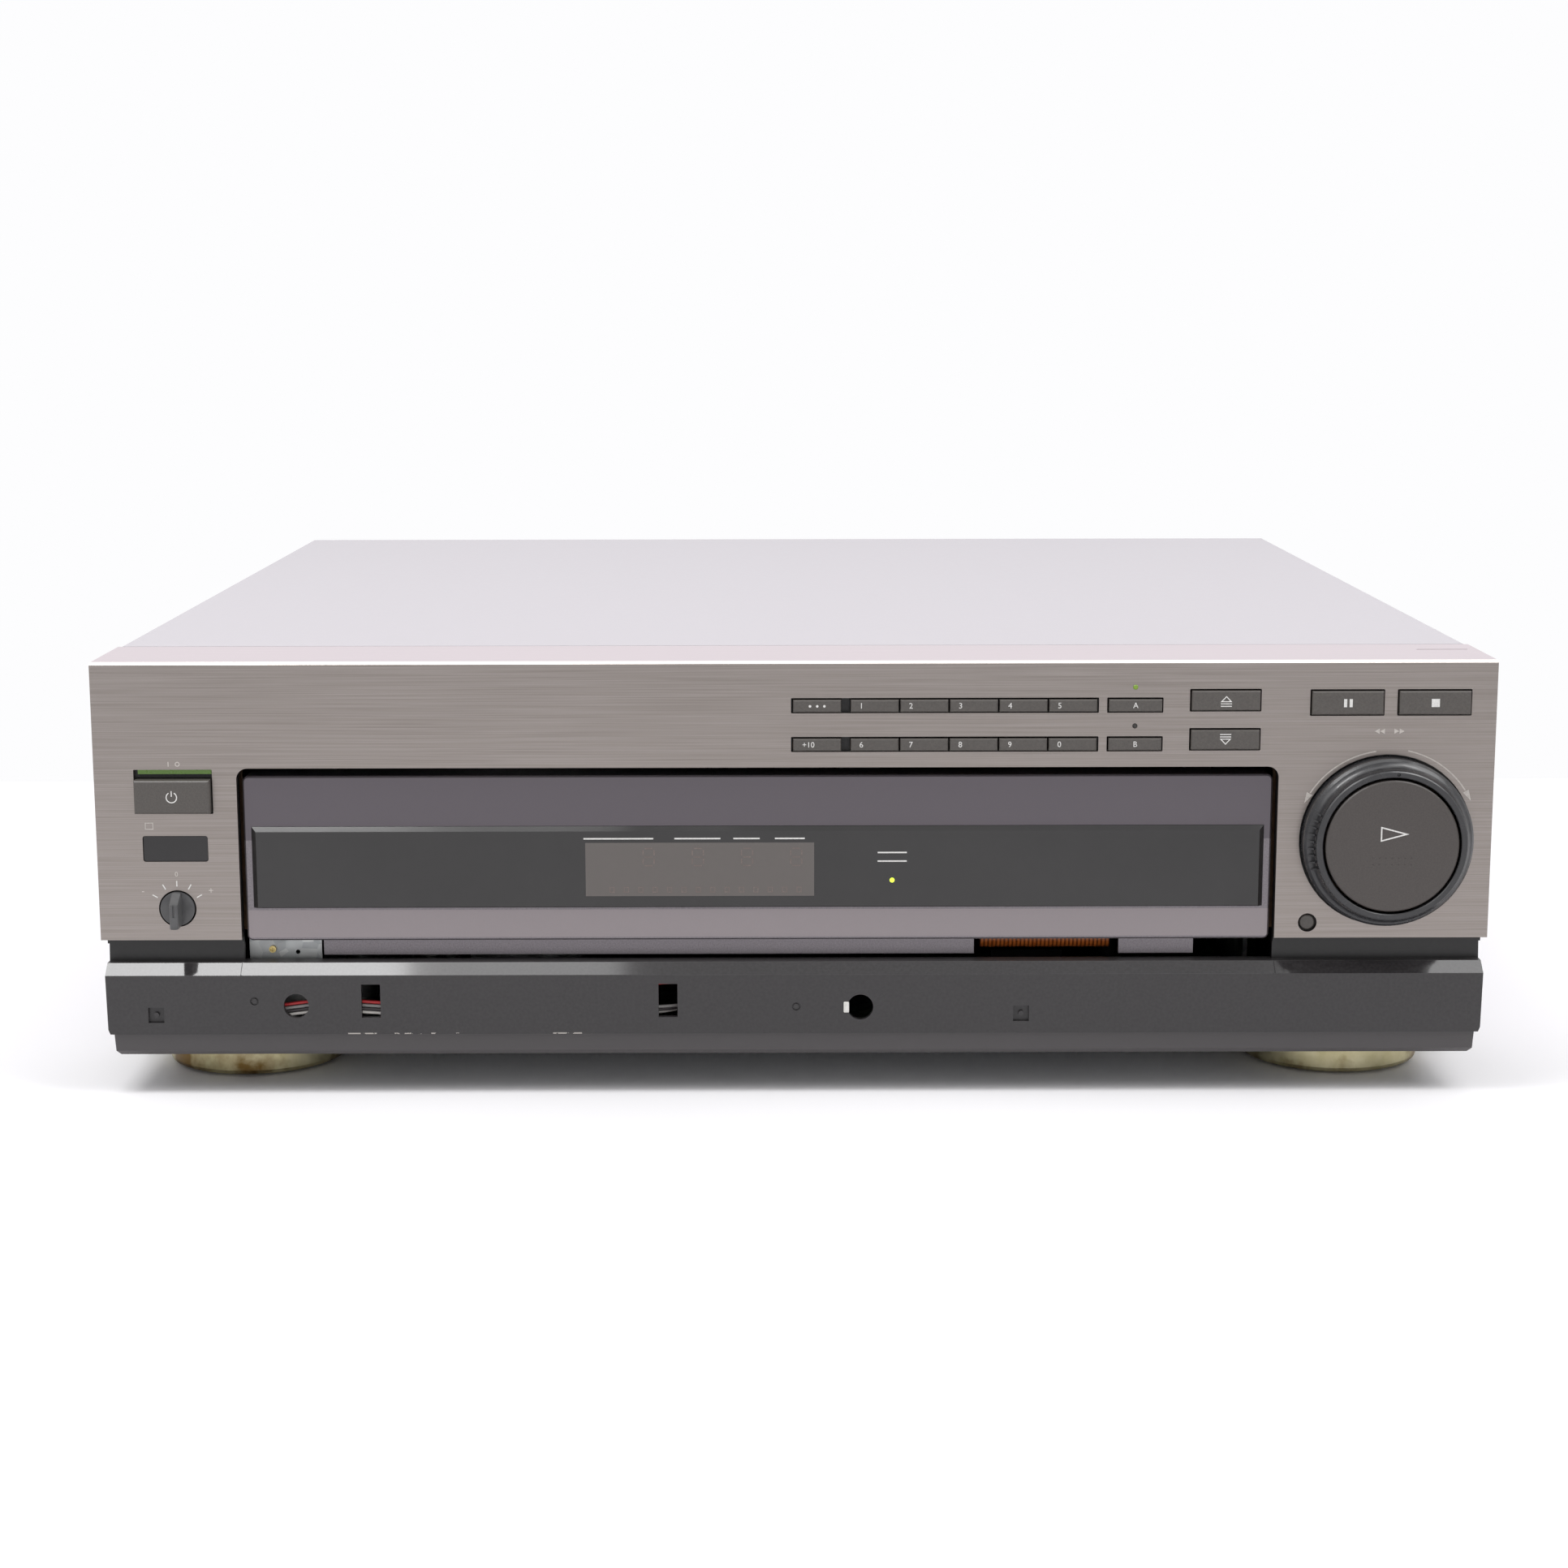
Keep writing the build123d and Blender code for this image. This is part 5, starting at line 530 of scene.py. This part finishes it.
stop = bmesh.new()
flat(stop, 4, 2.5, 2.5, middle, z, y)
print_on("stop_mark", stop, white_ink, "stop_button_body")
left, middle, z, y = cap("power_button")
power = bmesh.new()
arc(power, middle, z, 1.6, 0.32, 120, 420, y)
flat(power, 4, 0.32, 1.7, middle, z + 1.15, y)
print_on("power_mark", power, white_ink, "power_button_body")

# ---- Dial ----
# The ring is polished ABS, near black, and mirrors the lamps in its hollowed side.
# The play button in its middle is satin, with an outlined triangle on it.
polished, tree, shader = finish("polished_abs", "#2B2B2D", "#313133", 3.0, 0.0, (0.16, 0.3), detail=5.0)
dress(polished, "shuttle_ring")
satin, tree, shader = finish("satin_brown_abs", "#3F3A38", "#47423F", 0.5, 0.0, (0.34, 0.44), 0.02)
dress(satin, "play_button")
left, middle, z, y = cap("play_button")
play = bmesh.new()
flat(play, 3, 4.7, 8.7, middle + 0.6, z + 3.8, y, -math.pi / 2, 0.42)
print_on("play_mark", play, white_ink, "play_button_body")

# ---- Knob ----
# Dark grey ABS, worn paler on the grip.
worn, tree, shader = finish("worn_grey_abs", "#444445", "#565657", 5.0, 0.0, (0.32, 0.42), detail=5.0)
dress(worn, "picture_knob")

# ---- Plinth ----
# Dark grey ABS under the panel. The bevel above its face is polished and mirrors what stands over it.
# The wall behind the bevel is painted near black, for its dark plastic and the shade under the panel, and the
# set-back band below the face is a little paler.
# Dried glue is left along the lower edge of the upright face, where a trim strip was stuck.
band_top, face_top, bevel_top, dark_and_shaded_wall_from = (z * MM for z in (19.1, 37.95, 41.15, 41.3))
grained, tree, shader = finish("dark_grey_abs", "#2B292A", "#333132", 0.9, 0.0, (0.36, 0.46), 0.03)
bevel = inside(tree, (-1.0, -1.0, face_top), (1.0, 1.0, bevel_top))
overlay(tree, shader, bevel, (0.07, 0.07, 0.07, 1.0), "Roughness")
smooth = {"operation": "MULTIPLY_ADD", 1: -RELIEF, 2: RELIEF}
strength = add(tree, "ShaderNodeMath", smooth, {0: bevel})
tree.links.new(strength.outputs[0], shader.inputs["Normal"].links[0].from_node.inputs["Strength"])
# The wall above the bevel is painted near black, for its dark plastic and for the shade under the panel.
overlay(tree, shader, inside(tree, (-1.0, -1.0, dark_and_shaded_wall_from), (1.0, 1.0, 1.0)), linear("#131212"))
overlay(tree, shader, inside(tree, (-1.0, -1.0, -1.0), (1.0, 1.0, band_top)), linear("#474445"))
place_of = add(tree, "ShaderNodeTexCoord")
lumps = {"Scale": 420.0, "Detail": 6.0}
crumbs = add(tree, "ShaderNodeTexNoise", lumps, {"Vector": place_of.outputs["Object"]})
loose = add(tree, "ShaderNodeMath", {"operation": "GREATER_THAN", 1: 0.54}, {0: crumbs.outputs["Fac"]})
for x0, x1 in ((-141, -102), (-75, -58)):
    edge = inside(tree, (x0 * MM, -1.0, 19.0 * MM), (x1 * MM, 1.0, 19.6 * MM))
    both = add(tree, "ShaderNodeMath", {"operation": "MULTIPLY"}, {0: edge, 1: loose.outputs[0]})
    overlay(tree, shader, both.outputs[0], linear("#A9A49E"))
dress(grained, "plinth")

nylon, tree, shader = finish("white_nylon", "#CFCEC8", "#E2E1DC", 1.5, 0.0, (0.45, 0.55))
tab = bmesh.new()
bmesh.ops.create_cube(tab, size=1.0)
bmesh.ops.scale(tab, verts=tab.verts, vec=(1.7 * MM, 3.0 * MM, 3.4 * MM))
rounding = {"offset": 0.3 * MM, "segments": 2, "affect": "EDGES", "profile": 0.5, "material": -1}
bmesh.ops.bevel(tab, geom=tab.edges[:], **rounding)
bmesh.ops.translate(tab, verts=tab.verts, vec=place(16.05, 27.5, -2.7))
keep("white_tab", tab, nylon, "cabinet")

# ---- Lid ----
# Bent steel sheet, stove-enamelled pale grey with a hint of violet, with a fine orange peel in the satin.
paint, tree, shader = finish("satin_enamel", "#AAA5AB", "#B2ADB3", 2.2, 0.0, (0.3, 0.38), 0.04)
dress(paint, "top_cover")

# ---- Studio ----
# A white table that ends just behind the player, a white room, and soft lamps above.
# The three long softboxes overhead are what the plinth's bevel mirrors.
paper, tree, shader = finish("white_table", "#F0EFF1", "#F6F5F7", 400, 0.0, (0.55, 0.65))
table = bmesh.new()
bmesh.ops.create_grid(table, x_segments=1, y_segments=1, size=1.0)
half_wide, half_deep, back_edge = 4.0, 2.2, 0.348
bmesh.ops.scale(table, verts=table.verts, vec=(half_wide, half_deep, 1))
bmesh.ops.translate(table, verts=table.verts, vec=(0, back_edge - half_deep, 0))
table_mesh = bpy.data.meshes.new("table")
table.to_mesh(table_mesh)
table.free()
table_mesh.materials.append(paper)
table_top = bpy.data.objects.new("table", table_mesh)
bpy.context.scene.collection.objects.link(table_top)

room = bpy.data.worlds.new("white_room")
bpy.context.scene.world = room
room.use_nodes = True
tree = room.node_tree
tree.nodes.clear()
ray = add(tree, "ShaderNodeLightPath")
shown = {0: ray.outputs["Is Camera Ray"], 1: ray.outputs["Is Transmission Ray"]}
direct = add(tree, "ShaderNodeMath", {"operation": "MAXIMUM"}, shown)
mirrored = {0: direct.outputs[0], 1: ray.outputs["Is Glossy Ray"]}
seen = add(tree, "ShaderNodeMath", {"operation": "MAXIMUM"}, mirrored)
level = add(tree, "ShaderNodeMapRange", {"To Min": 0.55, "To Max": 1.0}, {"Value": seen.outputs[0]})
walls = add(tree, "ShaderNodeBackground", {"Color": linear("#FDFDFE")}, {"Strength": level.outputs[0]})
add(tree, "ShaderNodeOutputWorld", {}, {"Surface": walls.outputs[0]})

for name, at, wide, deep, watts, aim in (
    ("left_lamp", (-1.1, -0.7, 1.25), 0.9, 0.9, 4.0, (0, 0, 0.06)),
    ("right_lamp", (1.1, -0.5, 1.25), 0.9, 0.9, 10.0, (0, 0, 0.06)),
    ("top_lamp", (0.0, 0.3, 1.6), 1.5, 1.5, 9.0, (0, 0, 0.06)),
    ("left_softbox", (-0.6, -0.39, 1.25), 0.64, 0.26, 6.3, (-0.6, -0.39, 0)),
    ("softbox_edge", (-0.2, -0.39, 1.25), 0.16, 0.26, 0.5, (-0.2, -0.39, 0)),
    ("right_softbox", (0.68, -0.39, 1.25), 0.6, 0.26, 2.0, (0.68, -0.39, 0)),
):
    data = bpy.data.lights.new(name, "AREA")
    data.shape = "RECTANGLE"
    data.size, data.size_y = wide, deep
    data.energy = watts
    lamp = bpy.data.objects.new(name, data)
    lamp.location = at
    lamp.rotation_euler = (Vector(aim) - Vector(at)).to_track_quat("-Z", "Y").to_euler()
    bpy.context.scene.collection.objects.link(lamp)

# The camera's place, turn and focal length were worked out from the panel's corners and the lid's back edge.
pitch, yaw, roll = (math.radians(a) for a in (10.0794, 0.1461, 0.0934))
forward = Vector((math.sin(yaw) * math.cos(pitch), math.cos(yaw) * math.cos(pitch), -math.sin(pitch)))
level_right = Vector((math.cos(yaw), -math.sin(yaw), 0))
level_down = forward.cross(level_right)
right = math.cos(roll) * level_right + math.sin(roll) * level_down
down = -math.sin(roll) * level_right + math.cos(roll) * level_down
camera_data = bpy.data.cameras.new("camera")
camera_data.sensor_width = 36.0
focal_px, frame_px = 3462.3, 1932
camera_data.lens = focal_px / frame_px * camera_data.sensor_width
camera = bpy.data.objects.new("camera", camera_data)
turn = Matrix((right, -down, -forward)).transposed().to_4x4()
camera.matrix_world = Matrix.Translation((-0.00533, -1.05927, 0.24823)) @ turn
bpy.context.scene.collection.objects.link(camera)
bpy.context.scene.camera = camera
bpy.context.scene.view_settings.view_transform = "Standard"
